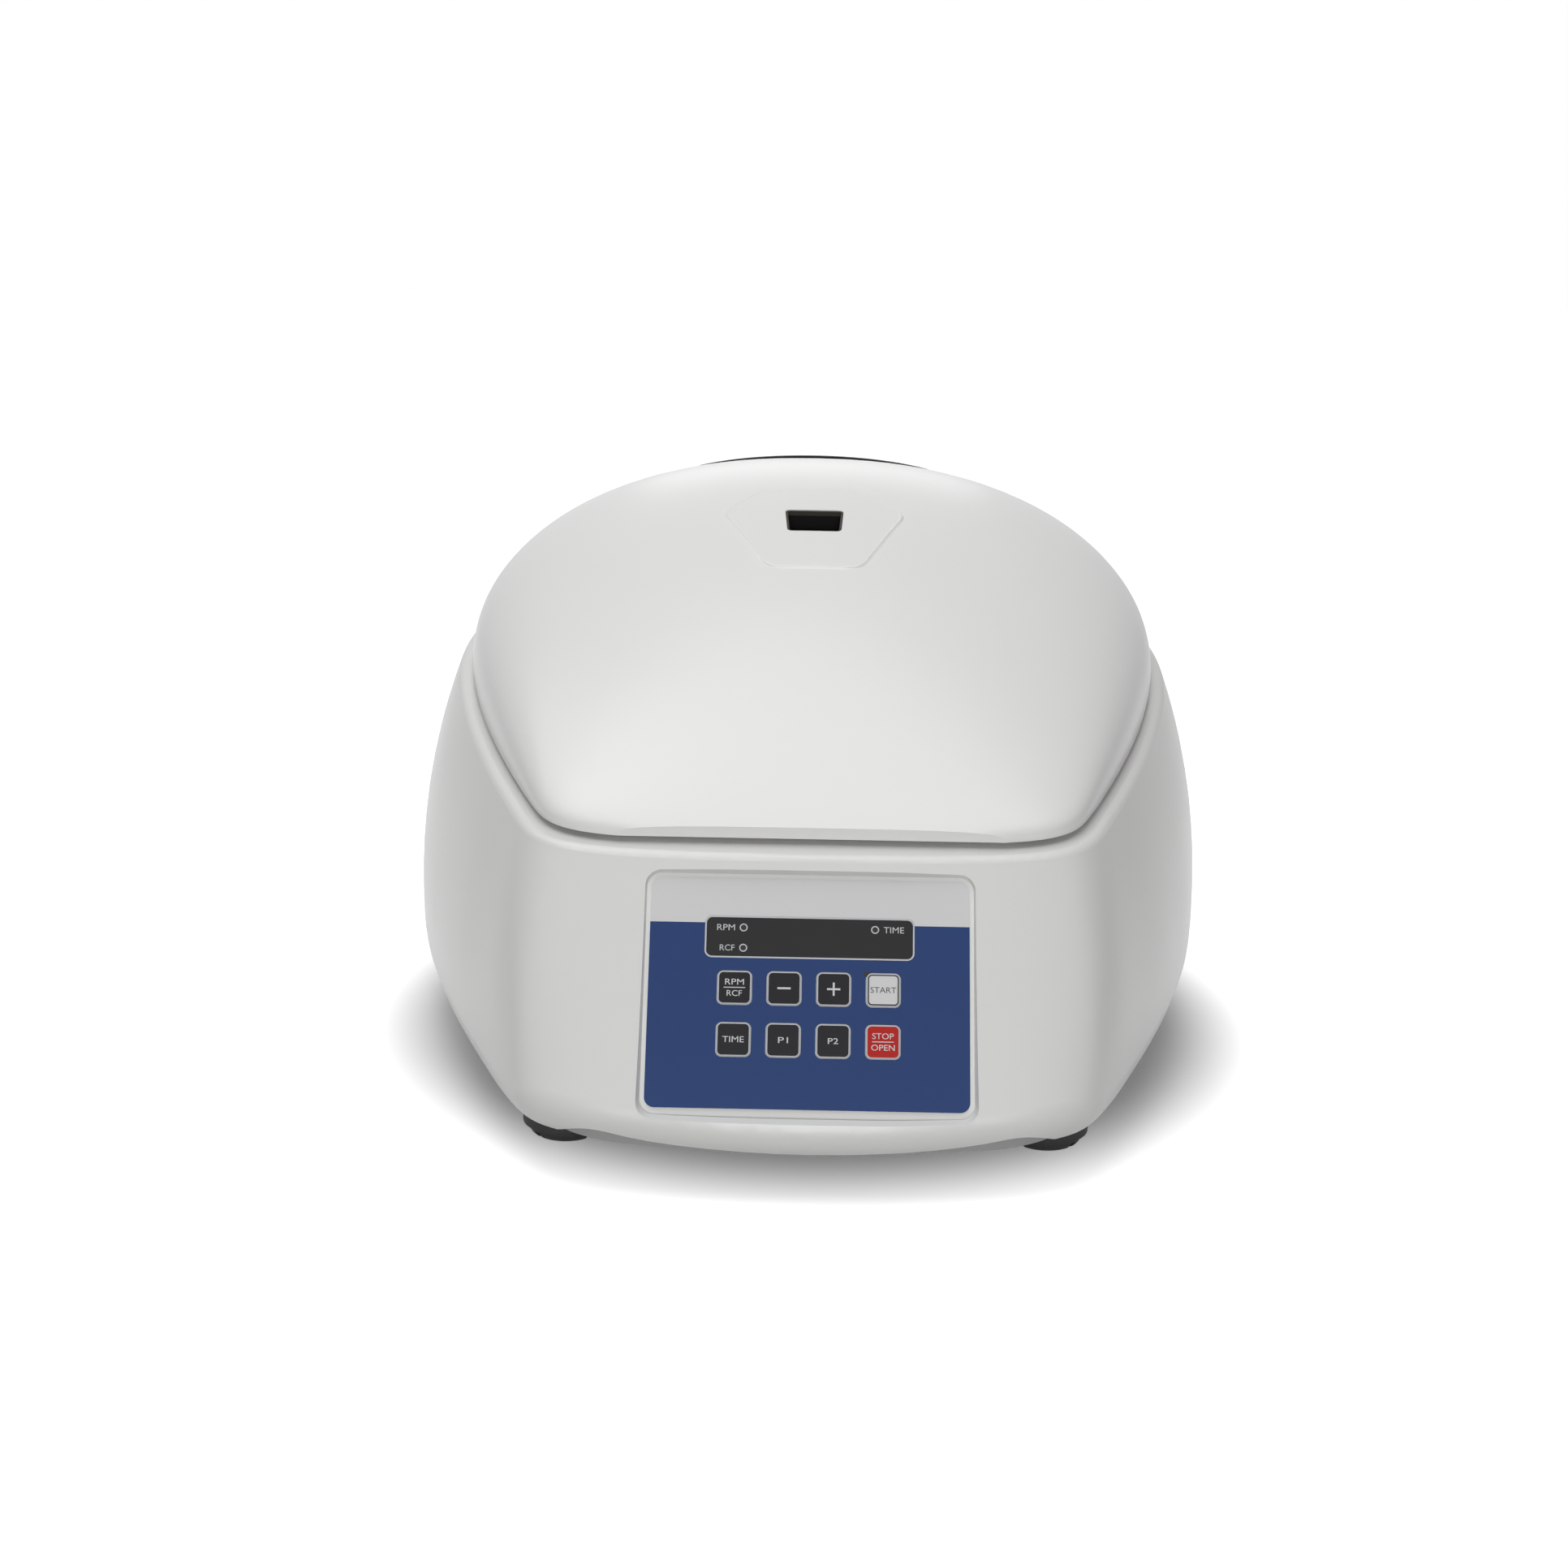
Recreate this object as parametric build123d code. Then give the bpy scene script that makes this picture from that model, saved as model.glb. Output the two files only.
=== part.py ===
from build123d import *
import os
from math import atan2, cos, degrees, hypot, pi, radians, sin, tan

os.makedirs("parts", exist_ok=True)

# Sizes are in millimetres and degrees. X points to the right, Y to the back and Z up.
# The ground is at Z = 0 and the front with its keypad looks along -Y.

# Outside of the body
RIM_TILT = 10.0            # the deck under the lid rises to the back
DECK_HEIGHT = 127.3        # deck above the ground, measured at Y = 0
WALL = 3.0                 # moulded walls of body and lid
WIDEST_Y = 50.0
FOOT_HALF = 152.5          # half width of the lowest section
TOP_HALF = 141.5           # half width at the deck
BULGE = 9.5                # extra half width between them
FOOT_FRONT = -192.6        # where the sloping front would meet the lowest section
TOP_FRONT = -136.6
FOOT_BACK = 181.9
TOP_BACK = 180.9
FOOT_TAPER = 0.458         # share of the half width lost from the widest place to the front
TOP_TAPER = 0.382
FOOT_TAPER_POWER = 1.70
TOP_TAPER_POWER = 1.53
FOOT_CORNER = 70.0         # higher values give sharper front corners
TOP_CORNER = 36.0
FOOT_BOW = 2.2             # higher values give a straighter front
TOP_BOW = 3.0
SECTION_BASE = 10.0        # height of the lowest section
SKIRT_HEIGHT = 13.5        # lower edge of the body at the middle of the front
SKIRT_RISE = 18.0          # how far this edge has risen at the sides
SKIRT_ROUND = 10.0
DECK_ROUND = 4.0

# Lid, along the deck: V runs up the deck from Y = 0 and W stands square to the deck
LID_GAP = 2.1              # from deck to lid edge
LID_HALF = 136.5
LID_FRONT = -132.5
LID_BACK = 166.5
LID_PEAK = 65.5
LID_PEAK_V = 90.0
LID_EDGE = 4.5
LID_TAIL_ROUND = 5.0
LID_FULLNESS = 2.25        # exponent of the arches at the peak
LID_FRONT_FULLNESS = 1.5   # what is added to it at the front

# Raised pad and port in the lid
PAD_RISE = 0.5
PAD_CORNERS = ((18.0, 5.5), (36.0, 50.0), (20.0, 71.5))
PAD_ROUND = 7.0
PORT_FRONT = (10.5, 32.5)
PORT_BACK = (11.6, 50.7)
PORT_V = (PORT_FRONT[1] + PORT_BACK[1]) / 2
PORT_WALL = 2.4
PORT_FLOOR = 52.0
WINDOW_THICKNESS = 2.0
WINDOW_LAP = 1.0

# Lining of the lid
LINER_INSET = 7.0
LINER_LOW = 4.2
LINER_THICKNESS = 2.0
LINER_SHOULDER = 102.0
LINER_CROWN = 50.0
LINER_TOP = 38.0
SIGHT_RADIUS = 4.0          # sight hole in the lining under the window
LINER_SCREWS = ((88.0, -75.0), (125.4, 45.0), (75.0, 140.0))

# Cover strip on the back of the lid
COVER_FRONT = 146.0
COVER_HALF = 59.5
COVER_PROUD = 1.8
COVER_LOW = 26.0

# Keypad
PANEL_Y = -156.1
PANEL_Z = 62.9
PANEL_TILT = 29.2
KEYPAD_WIDTH = 103.8
KEYPAD_HEIGHT = 75.2
KEYPAD_ROUND = 3.2
KEYPAD_THICKNESS = 0.6
POCKET_MARGIN = 1.4
POCKET_REACH = 8.0
POCKET_SPREAD = 3.0
POCKET_BOTTOM_SPREAD = 7.0
KEY_SIZE = 10.9
KEY_ROUND = 1.8
KEY_PITCH = 16.0
KEY_ROWS = (1.3, -15.5)
KEY_GAP = 0.25
KEY_STROKE = 0.4
KEY_PROUD = 0.3
KEY_STEM = 9.4
DISPLAY_WIDTH = 68.0
DISPLAY_HEIGHT = 13.8
DISPLAY_UP = 18.0
DISPLAY_ROUND = 2.4
BOARD_WIDTH = 98.0
BOARD_HEIGHT = 70.0
BOARD_THICKNESS = 1.6
BOARD_GAP = 1.3
DOME_RISE = 0.9
DOME_RADIUS = 3.0

# Rotor
ROTOR_Y = 33.0
SHAFT_RADIUS = 4.0
SHAFT_FIT = 0.05
SHAFT_BOTTOM = 42.0
SHAFT_SHOULDER = 6.0
THREAD_RADIUS = 3.0
SLEEVE_COUNT = 8
SLEEVE_TILT = 45.0
SLEEVE_RADIUS = 9.2
SLEEVE_WALL = 0.7
SLEEVE_LENGTH = 78.0
SLEEVE_LOW_RADIUS = 92.0   # distance of the round end's centre from the rotor axis
SLEEVE_LOW_Z = 88.0
SLEEVE_COLLAR = 11.0
SLEEVE_COLLAR_HEIGHT = 3.0
SLEEVE_FIT = 0.1
SEAT_DISTANCE = 66.0       # from the round end's centre to the rotor plate, along a sleeve
SOCKET_RADIUS = 12.0
SOCKET_LENGTH = 16.0
PLATE_THICKNESS = 3.0
PLATE_OUTER = 58.0
PLATE_INNER = 24.0
HUB_RADIUS = 15.0
HUB_BOTTOM = 96.0
HUB_TOP = 122.0
NUT_RADIUS = 11.0
NUT_HEIGHT = 11.0
FLUTES = 12

# Bowl, gasket and motor
BOWL_RADIUS = 113.0
BOWL_WALL = 1.2
BOWL_FLOOR = 75.2
BOWL_CORNER = 16.0
BOWL_HOLE = 16.0
FLANGE_RADIUS = 129.0
FLANGE_THICKNESS = 1.5
FLANGE_SCREWS = 125.4
GASKET_INNER = 115.5
GASKET_OUTER = 121.5
GASKET_HEIGHT = 3.8
MOTOR_RADIUS = 40.0
MOTOR_TOP = 66.0
MOTOR_BOSS = 14.0
MOTOR_BOSS_HEIGHT = 5.0
MOUNT_RADIUS = 60.0
MOUNT_THICKNESS = 2.5
DAMPER_CIRCLE = 50.0
DAMPER_RADIUS = 7.0
DAMPER_LOW = 26.0
DAMPER_HEIGHT = 10.5

# Tray and feet
TRAY_LIFT = 2.5            # underside of the tray above the body's lower edge
TRAY_THICKNESS = 3.0
TRAY_HEADROOM = 1.5         # free height over the tray inside the front wall
FRONT_ROOM = -160.0         # the body is cleared over the tray in front of this line
TRAY_INSET = 13.6
LIP_INSET = 13.2
FOOT_PLACES = {"front_left": (-82.0, -122.0), "front_right": (82.0, -122.0),
               "back_left": (-96.0, 112.0), "back_right": (96.0, 112.0)}
FOOT_DISC = 15.0
FOOT_BOWL = 13.0
FOOT_BOWL_ROUND = 3.4
FOOT_STEP = 4.0
FOOT_DISC_TOP = 13.0
FOOT_NECK = 10.0
FOOT_TOP = 19.0
FOOT_SLOTS = 4
PAD_RADIUS = 12.0
TRAY_VENTS = 9
TRAY_FOLDS = (0.0, 60.0, 105.0, 170.0)

# Hinge, in deck coordinates
HINGE_V = 171.0
HINGE_W = 10.0
BARREL_RADIUS = 5.0
PIN_RADIUS = 2.0
KNUCKLES = ((-38.0, -26.0), (-6.0, 6.0), (26.0, 38.0))
HINGE_SCREWS = (-16.0, 16.0)
HINGE_PLATE = 2.0

# Latch, in deck coordinates
LATCH_V = -110.0
LATCH_W = -9.0
BOLT_RADIUS = 3.0
STRIKER_GAP = 1.2           # from the bolt to the edges of the striker's window
BOLT_FIT = 0.06
BOLT_NOSE = 2.2
BOLT_LENGTH = 38.0
CHEEK_INNER = 5.0
CHEEK_THICKNESS = 2.0
STRIKER_THICKNESS = 2.0
SOLENOID_START = 18.2
SOLENOID_LENGTH = 28.0

# Back panel: a flat recess with the power inlet and the switch
REAR_FACE = 177.4
REAR_LOW = 34.0
REAR_HIGH = 72.0
REAR_HALF = 50.0
SOCKET_Z = 53.0
INLET_X = -20.0
INLET_FLANGE = (50.0, 26.0)
INLET_BODY = (27.4, 20.0)
INLET_DEPTH = 18.0
INLET_SCREW_X = 20.0
PIN_PITCH = 7.0
SWITCH_X = 32.0
SWITCH_FRAME = (24.0, 17.0)
SWITCH_BODY = (21.0, 14.0)
ROCKER_PIVOT = -3.0
ROCKER_TILT = 8.0

# Fits
SEAT = 0.1                 # gap between pieces that sit on each other
CLEAR = 0.3                # gap between pieces that pass each other

OUTLINE_POINTS = 23
TURN_WEIGHT = 60.0          # length that counts the same as one radian of turn
ARCH_POINTS = 24
FAR = 300.0
MIN_Z = (Align.CENTER, Align.CENTER, Align.MIN)

deck = Plane(origin=(0, 0, DECK_HEIGHT), x_dir=(1, 0, 0),
             z_dir=(0, -sin(radians(RIM_TILT)), cos(radians(RIM_TILT))))
panel = Plane(origin=(0, PANEL_Y, PANEL_Z), x_dir=(1, 0, 0),
              z_dir=(0, -cos(radians(PANEL_TILT)), sin(radians(PANEL_TILT))))
ROTOR_V = ROTOR_Y / cos(radians(RIM_TILT))


# Small helpers
def mix(a, b, share):
    return a + (b - a) * share


def rod(radius, low, high, x=0.0, y=0.0):
    return Pos(x, y, low) * Cylinder(radius, high - low, align=MIN_Z)


def tube(outer, inner, low, high, x=0.0, y=0.0):
    return rod(outer, low, high, x, y) - rod(inner, low - 1, high + 1, x, y)


def block(x0, x1, y0, y1, z0, z1):
    return Pos((x0 + x1) / 2, (y0 + y1) / 2, (z0 + z1) / 2) * Box(x1 - x0, y1 - y0, z1 - z0)


def rounded_plate(width, height, radius, low, high, x=0.0, y=0.0):
    return Pos(x, y, low) * extrude(RectangleRounded(width, height, radius), amount=high - low)


def turned(profile, x=0.0, y=0.0):
    """Solid of revolution about a vertical axis from (radius, height) points."""
    return Pos(x, y, 0) * revolve(Plane.XZ * make_face(Polyline(*profile, close=True)), Axis.Z)


def rod_x(radius, x0, x1, y=0.0, z=0.0):
    return Pos(x0, y, z) * Rot(0, 90, 0) * Cylinder(radius, x1 - x0, align=MIN_Z)


def on_deck(shape):
    return deck.location * shape


def on_panel(shape):
    return panel.location * shape


def facing_back(shape, x, z):
    """Sets a shape modelled on XY on the back panel, so that its Z points to the back."""
    return Pos(x, REAR_FACE, z) * Rot(-90, 0, 0) * shape


def joined(shapes):
    whole = shapes[0]
    for shape in shapes[1:]:
        whole += shape
    return whole


def screw(radius, length, head_radius, head_height):
    """Screw whose head stands on Z = 0 and whose shank goes down."""
    head = rod(head_radius, 0, head_height)
    head = chamfer(head.edges().sort_by(Axis.Z)[-1], head_height * 0.35)
    drive = Pos(0, 0, head_height * 0.4) * extrude(RegularPolygon(head_radius * 0.5, 6), amount=head_height)
    return head + rod(radius, -length, 0) - drive


def upside_down(shape):
    return Rot(180, 0, 0) * shape


def save(name, *shapes):
    solids = [solid for shape in shapes for solid in shape.solids()]
    whole = solids[0] if len(solids) == 1 else Compound(solids)
    export_step(whole, f"parts/{name}.step")


# Plan outline: an egg with a wide round back and a narrow, nearly straight front
def egg_half(half, front, back, taper, taper_power, corner, bow, back_power=2.5, steps=240):
    """Points of the right half, from the middle of the back to the middle of the front."""
    points = []
    for i in range(steps):
        turn = i / steps * pi / 2
        points.append((half * sin(turn) ** (2 / back_power),
                       WIDEST_Y + (back - WIDEST_Y) * cos(turn) ** (2 / back_power)))
    for i in range(steps + 1):
        share = 1 - (1 - i / steps) ** 3
        width = (1 - taper * share ** taper_power) * (1 - share ** corner) ** (1 / bow)
        points.append((half * width, WIDEST_Y + (front - WIDEST_Y) * share))
    return points


def inset(points, distance):
    """Moves the points of a half outline square to it, inwards for a positive distance."""
    moved = []
    last = len(points) - 1
    for i, (x, y) in enumerate(points):
        ax, ay = points[max(i - 1, 0)]
        bx, by = points[min(i + 1, last)]
        dx = bx - ax
        dy = 0.0 if i in (0, last) else by - ay
        size = hypot(dx, dy)
        moved.append((max(x + dy / size * distance, 0.0), y - dx / size * distance))
    return moved


def even(points, count):
    """Spreads a number of points along a half outline, closer together where it bends."""
    run = [0.0]
    heading = None
    for (ax, ay), (bx, by) in zip(points, points[1:]):
        angle = atan2(by - ay, bx - ax)
        turn = 0.0 if heading is None else abs((angle - heading + pi) % (2 * pi) - pi)
        heading = angle
        run.append(run[-1] + hypot(bx - ax, by - ay) + TURN_WEIGHT * turn)
    spread = []
    k = 0
    for i in range(count):
        goal = run[-1] * i / (count - 1)
        while k < len(run) - 2 and run[k + 1] < goal:
            k += 1
        share = (goal - run[k]) / (run[k + 1] - run[k])
        spread.append((mix(points[k][0], points[k + 1][0], share),
                       mix(points[k][1], points[k + 1][1], share)))
    return spread


def deck_height(y):
    return DECK_HEIGHT + y * tan(radians(RIM_TILT))


# Body: egg sections from a level bottom plane to the tilted deck
def body_outline(share, inward=0.0):
    points = egg_half(
        half=mix(FOOT_HALF, TOP_HALF, share) + 4 * BULGE * share * (1 - share),
        front=mix(FOOT_FRONT, TOP_FRONT, share),
        back=mix(FOOT_BACK, TOP_BACK, share),
        taper=mix(FOOT_TAPER, TOP_TAPER, share),
        taper_power=mix(FOOT_TAPER_POWER, TOP_TAPER_POWER, share),
        corner=mix(FOOT_CORNER, TOP_CORNER, share),
        bow=mix(FOOT_BOW, TOP_BOW, share))
    return inset(points, inward) if inward else points


def closed_outline(right):
    """Face inside a half outline, given in space, and its mirror image."""
    left = [(-x, y, z) for x, y, z in reversed(right)]
    return make_face([Spline(*right, tangents=[(1, 0, 0), (-1, 0, 0)]),
                      Spline(*left, tangents=[(-1, 0, 0), (1, 0, 0)])])


def body_section(share, inward):
    points = even(body_outline(share, inward), OUTLINE_POINTS)
    return closed_outline([(x, y, mix(SECTION_BASE, deck_height(y), share)) for x, y in points])


def body_form(inward=0.0):
    return loft([body_section(share, inward) for share in (0, 0.5, 1)])


def floor_prism(inward):
    """Upright prism inside the body's lowest section."""
    points = even(body_outline(0, inward), OUTLINE_POINTS)
    return extrude(closed_outline([(x, y, 0) for x, y in points]), amount=60)


def skirt_height(x):
    return SKIRT_HEIGHT + SKIRT_RISE * (x / FOOT_HALF) ** 2


def tray_low(x):
    """Underside of the tray, which has straight folds where the body's edge is curved."""
    for a, b in zip(TRAY_FOLDS, TRAY_FOLDS[1:]):
        if abs(x) <= b:
            return mix(skirt_height(a), skirt_height(b), (abs(x) - a) / (b - a)) + TRAY_LIFT


def tray_top(x):
    return tray_low(x) + TRAY_THICKNESS


def below_skirt(lift=0.0):
    """Solid below the body's lower edge, which rises to both sides."""
    reach = 220
    rise = [(x, skirt_height(x) + lift) for x in range(-reach, reach + 1, 20)]
    base = Polyline(rise[-1], (reach, -50), (-reach, -50), rise[0])
    return extrude(Plane.XZ * make_face([Spline(*rise), base]), amount=FAR, both=True)


def edges_along(shape, height):
    """Edges whose points all lie at the given height, a function of X and Y."""
    return [edge for edge in shape.edges()
            if all(abs(point.Z - height(point.X, point.Y)) < 0.05 for point in (edge @ 0, edge @ 0.3, edge @ 0.6))]


def make_body_shell():
    """Hollow body with rounded edges; the rounds come last because that is much quicker."""
    inner = body_form(WALL) - below_skirt(WALL) - on_deck(block(-FAR, FAR, -FAR, FAR, -WALL, FAR))
    shell = (body_form() - below_skirt()) - inner
    shell = fillet(edges_along(shell, lambda x, y: deck_height(y)), DECK_ROUND)
    shell = fillet(edges_along(shell, lambda x, y: skirt_height(x)), SKIRT_ROUND)
    return fillet(edges_along(shell, lambda x, y: skirt_height(x) + WALL), SKIRT_ROUND - WALL)


# Screws of the tray stand just inside the wall, on both sides
SCREW_INSET = 24.0
SCREW_LEVELS = (115.0, 15.0, -85.0)
BOSS_RADIUS = 5.0
BOSS_HEIGHT = 26.0


def tray_screws():
    """Places of the screws and the direction from each one square to the wall."""
    wall = body_outline(0)
    line = inset(wall, SCREW_INSET)
    places = []
    for level in SCREW_LEVELS:
        k = min(range(len(line)), key=lambda i: abs(line[i][1] - level) if line[i][0] > 50 else FAR)
        (x, y), (wall_x, wall_y) = line[k], wall[k]
        places.append((x, y, degrees(atan2(wall_y - y, wall_x - x))))
        places.append((-x, y, degrees(atan2(wall_y - y, x - wall_x))))
    return places


TRAY_SCREWS = tray_screws()


def tray_bosses():
    """Screw bosses for the tray, each tied to the wall by a rib."""
    bosses = []
    for x, y, angle in TRAY_SCREWS:
        low = tray_top(abs(x) + BOSS_RADIUS) + SEAT
        rib = block(0, SCREW_INSET + 10, -1.25, 1.25, low + 4, low + BOSS_HEIGHT - 3)
        bosses.append(rod(BOSS_RADIUS, low, low + BOSS_HEIGHT, x, y) + Pos(x, y, 0) * Rot(0, 0, angle) * rib)
    return bosses


def keypad_pocket():
    width = KEYPAD_WIDTH + 2 * POCKET_MARGIN
    height = KEYPAD_HEIGHT + 2 * POCKET_MARGIN
    radius = KEYPAD_ROUND + POCKET_MARGIN
    floor = RectangleRounded(width, height, radius)
    mouth_height = height + POCKET_SPREAD + POCKET_BOTTOM_SPREAD
    mouth = RectangleRounded(width + 2 * POCKET_SPREAD, mouth_height, radius + POCKET_SPREAD)
    shift = (POCKET_SPREAD - POCKET_BOTTOM_SPREAD) / 2
    return on_panel(loft([floor, Pos(0, shift, POCKET_REACH) * mouth]))


def key_places():
    return [((column - 1.5) * KEY_PITCH, row) for row in KEY_ROWS for column in range(4)]


def board_posts():
    return [(sx * (BOARD_WIDTH / 2 - 5), sy * (BOARD_HEIGHT / 2 - 4)) for sx in (-1, 1) for sy in (-1, 1)]


def window_block(size, gap, low, high):
    width, height = size
    return block(-width / 2 - gap, width / 2 + gap, -height / 2 - gap, height / 2 + gap, low, high)


def make_housing():
    middle = body_form(WALL / 2) - on_deck(block(-FAR, FAR, -FAR, FAR, -WALL / 2, FAR))

    # Flat floors behind the keypad and the back panel, posts for the control board, screw bosses
    floor = [rounded_plate(KEYPAD_WIDTH + 14, KEYPAD_HEIGHT + 10, 6.0, -WALL, 0)]
    floor += [rod(3.0, -WALL - BOARD_GAP + SEAT, -WALL + 0.5, x, y) for x, y in board_posts()]
    added = [on_panel(joined(floor)) & middle]
    back = block(-REAR_HALF - WALL, REAR_HALF + WALL, REAR_FACE - WALL, REAR_FACE,
                 REAR_LOW - WALL, REAR_HIGH + WALL)
    added.append(back & middle)
    added += [boss & middle for boss in tray_bosses()]
    added += [on_deck(rod(4.0, -14, -WALL / 2, x, HINGE_V)) for x in HINGE_SCREWS]

    # Pocket of the keypad, recess and openings of the back panel, bottom, bowl and latch slot
    cuts = [keypad_pocket()]
    recess = rounded_plate(2 * REAR_HALF, REAR_HIGH - REAR_LOW, 4.0, 0, 20)
    cuts.append(facing_back(recess, 0, (REAR_HIGH + REAR_LOW) / 2))
    cuts.append(facing_back(window_block(INLET_BODY, SEAT, -10, 1), INLET_X, SOCKET_Z))
    cuts.append(facing_back(window_block(SWITCH_BODY, SEAT, -10, 1), SWITCH_X, SOCKET_Z))
    cuts.append(floor_prism(LIP_INSET) & below_skirt(WALL + 2))
    over_tray = below_skirt(TRAY_LIFT + TRAY_THICKNESS + TRAY_HEADROOM)
    cuts.append(floor_prism(LIP_INSET) & over_tray & block(-FAR, FAR, -FAR, FRONT_ROOM, 0, FAR))
    cuts.append(rod(BOWL_RADIUS + BOWL_WALL + 0.6, 60, FAR, 0, ROTOR_Y))
    cuts.append(on_deck(rod(FLANGE_RADIUS + CLEAR, -FLANGE_THICKNESS - SEAT, 20, 0, ROTOR_V)))
    cuts.append(on_deck(block(-4, 4, LATCH_V - 8.5, LATCH_V + 8.5, -10, 10)))

    # Openings for keys and display, and screw holes
    hole = KEY_STEM + 2 * CLEAR
    cuts += [on_panel(rounded_plate(hole, hole, 1.2, -10, 1, x, y)) for x, y in key_places()]
    cuts.append(on_panel(rounded_plate(DISPLAY_WIDTH - 4, DISPLAY_HEIGHT - 2.4, 1.0, -10, 1, 0, DISPLAY_UP)))
    cuts += [on_panel(rod(1.1, -10, -0.8, x, y)) for x, y in board_posts()]
    cuts += [facing_back(rod(1.6, -10, 1), INLET_X + side * INLET_SCREW_X, SOCKET_Z) for side in (-1, 1)]
    cuts += [on_deck(rod(1.6, -12, 1, x, HINGE_V)) for x in HINGE_SCREWS]
    cuts += [on_deck(rod(1.3, -8, 1, x, y)) for x, y in flange_screw_places()]
    cuts += [rod(1.7, tray_top(x) - 1, tray_top(x) + 14, x, y) for x, y, _ in TRAY_SCREWS]
    return make_body_shell() + added - cuts


def flange_screw_places():
    return [(FLANGE_SCREWS * cos(radians(angle)), ROTOR_V + FLANGE_SCREWS * sin(radians(angle)))
            for angle in (45, 135, 225, 315)]


# Tray, feet and their screws
def make_tray():
    folds = sorted({side * x for x in TRAY_FOLDS for side in (-1, 1)})
    under = [(x, tray_low(x)) for x in folds]
    over = [(x, tray_top(x)) for x in reversed(folds)]
    sheet = extrude(Plane.XZ * make_face(Polyline(*under, *over, close=True)), amount=FAR, both=True)
    tray = floor_prism(TRAY_INSET) & sheet
    middle = TRAY_THICKNESS / 2
    added = [rod(PAD_RADIUS, FOOT_TOP, tray_top(x) + 2, x, y) for x, y in FOOT_PLACES.values()]
    added += [rod(DAMPER_RADIUS + 1, tray_top(x) - middle, DAMPER_LOW, x, y) for x, y in damper_places()]
    added += [rod(3.0, tray_top(x) - middle, POWER_BOARD_Z, x, y) for x, y in POWER_POSTS]
    cuts = [rod(2.1, 0, 60, x, y) for x, y in FOOT_PLACES.values()]
    cuts += [rod(1.8, 0, 60, x, y) for x, y, _ in TRAY_SCREWS]
    cuts += [rod(3.8, 0, tray_low(x) + 1.0, x, y) for x, y, _ in TRAY_SCREWS]
    for i in range(TRAY_VENTS):
        x = (i - (TRAY_VENTS - 1) / 2) * 9
        cuts.append(block(x - 1.75, x + 1.75, 104, 136, 0, 60))
    return tray + added - cuts


def damper_places():
    return [(DAMPER_CIRCLE * cos(radians(angle)), ROTOR_Y + DAMPER_CIRCLE * sin(radians(angle)))
            for angle in (90, 210, 330)]


def make_foot():
    sole = rod(FOOT_BOWL, 0, FOOT_STEP + 0.5)
    sole = fillet(sole.edges().sort_by(Axis.Z)[0], FOOT_BOWL_ROUND)
    disc = rod(FOOT_DISC, FOOT_STEP, FOOT_DISC_TOP)
    disc = fillet(disc.edges().filter_by(GeomType.CIRCLE), 0.8)
    foot = sole + disc + rod(FOOT_NECK, FOOT_DISC_TOP - 1, FOOT_TOP - SEAT)
    foot -= rod(4.6, -1, 6.0)
    foot -= rod(2.1, 0, 40)
    for i in range(FOOT_SLOTS):
        slot = block(3, 20, -1.3, 1.3, -1, 2.6)
        foot -= Rot(0, 0, 45 + i * 360 / FOOT_SLOTS) * slot
    return foot


def make_foot_screws():
    return [Pos(x, y, 6.0 - SEAT) * upside_down(screw(2.0, FOOT_TOP + 3 - 6, 4.0, 2.8))
            for x, y in FOOT_PLACES.values()]


def make_base_screws():
    return [Pos(x, y, tray_low(x) + 1.0 - SEAT) * upside_down(screw(1.5, 14, 3.2, 2.0))
            for x, y, _ in TRAY_SCREWS]


# Power electronics on the tray
POWER_BOARD_Z = 36.0
POWER_BOARD = (-120.0, -66.0, -34.0, 60.0)
POWER_POSTS = [(x, y) for x in (POWER_BOARD[0] + 5, POWER_BOARD[1] - 5)
               for y in (POWER_BOARD[2] + 5, POWER_BOARD[3] - 5)]


def make_power_board():
    x0, x1, y0, y1 = POWER_BOARD
    low = POWER_BOARD_Z + SEAT
    top = low + BOARD_THICKNESS
    board = block(x0, x1, y0, y1, low, top)
    board += block(x0 + 10, x0 + 42, y0 + 10, y0 + 36, top, top + 22)
    board += rod(8, top, top + 24, x0 + 16, y0 + 50) + rod(8, top, top + 24, x0 + 36, y0 + 50)
    board += block(x0 + 8, x0 + 46, y0 + 66, y0 + 70, top, top + 20)
    for i in range(6):
        board += block(x0 + 9 + i * 7, x0 + 11 + i * 7, y0 + 70, y0 + 80, top, top + 20)
    return board


# Motor on rubber dampers
def motor_bottom():
    return DAMPER_LOW + DAMPER_HEIGHT + MOUNT_THICKNESS


def make_motor():
    low = motor_bottom() + SEAT
    can = rod(MOTOR_RADIUS, low, MOTOR_TOP, 0, ROTOR_Y)
    can = fillet(can.edges().filter_by(GeomType.CIRCLE).sort_by(Axis.Z)[-1], 4.0)
    motor = can + rod(MOTOR_BOSS, MOTOR_TOP - 1, MOTOR_TOP + MOTOR_BOSS_HEIGHT, 0, ROTOR_Y)
    for i in range(8):
        slot = block(20, 33, -2, 2, MOTOR_TOP - 3, MOTOR_TOP + 2)
        motor -= Pos(0, ROTOR_Y, 0) * Rot(0, 0, i * 45) * slot
    motor += block(-9, 9, ROTOR_Y - MOTOR_RADIUS - 5, ROTOR_Y - MOTOR_RADIUS + 3, low + 6, low + 18)
    motor -= rod(SHAFT_RADIUS + SHAFT_FIT, 0, 100, 0, ROTOR_Y)
    return motor


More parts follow.
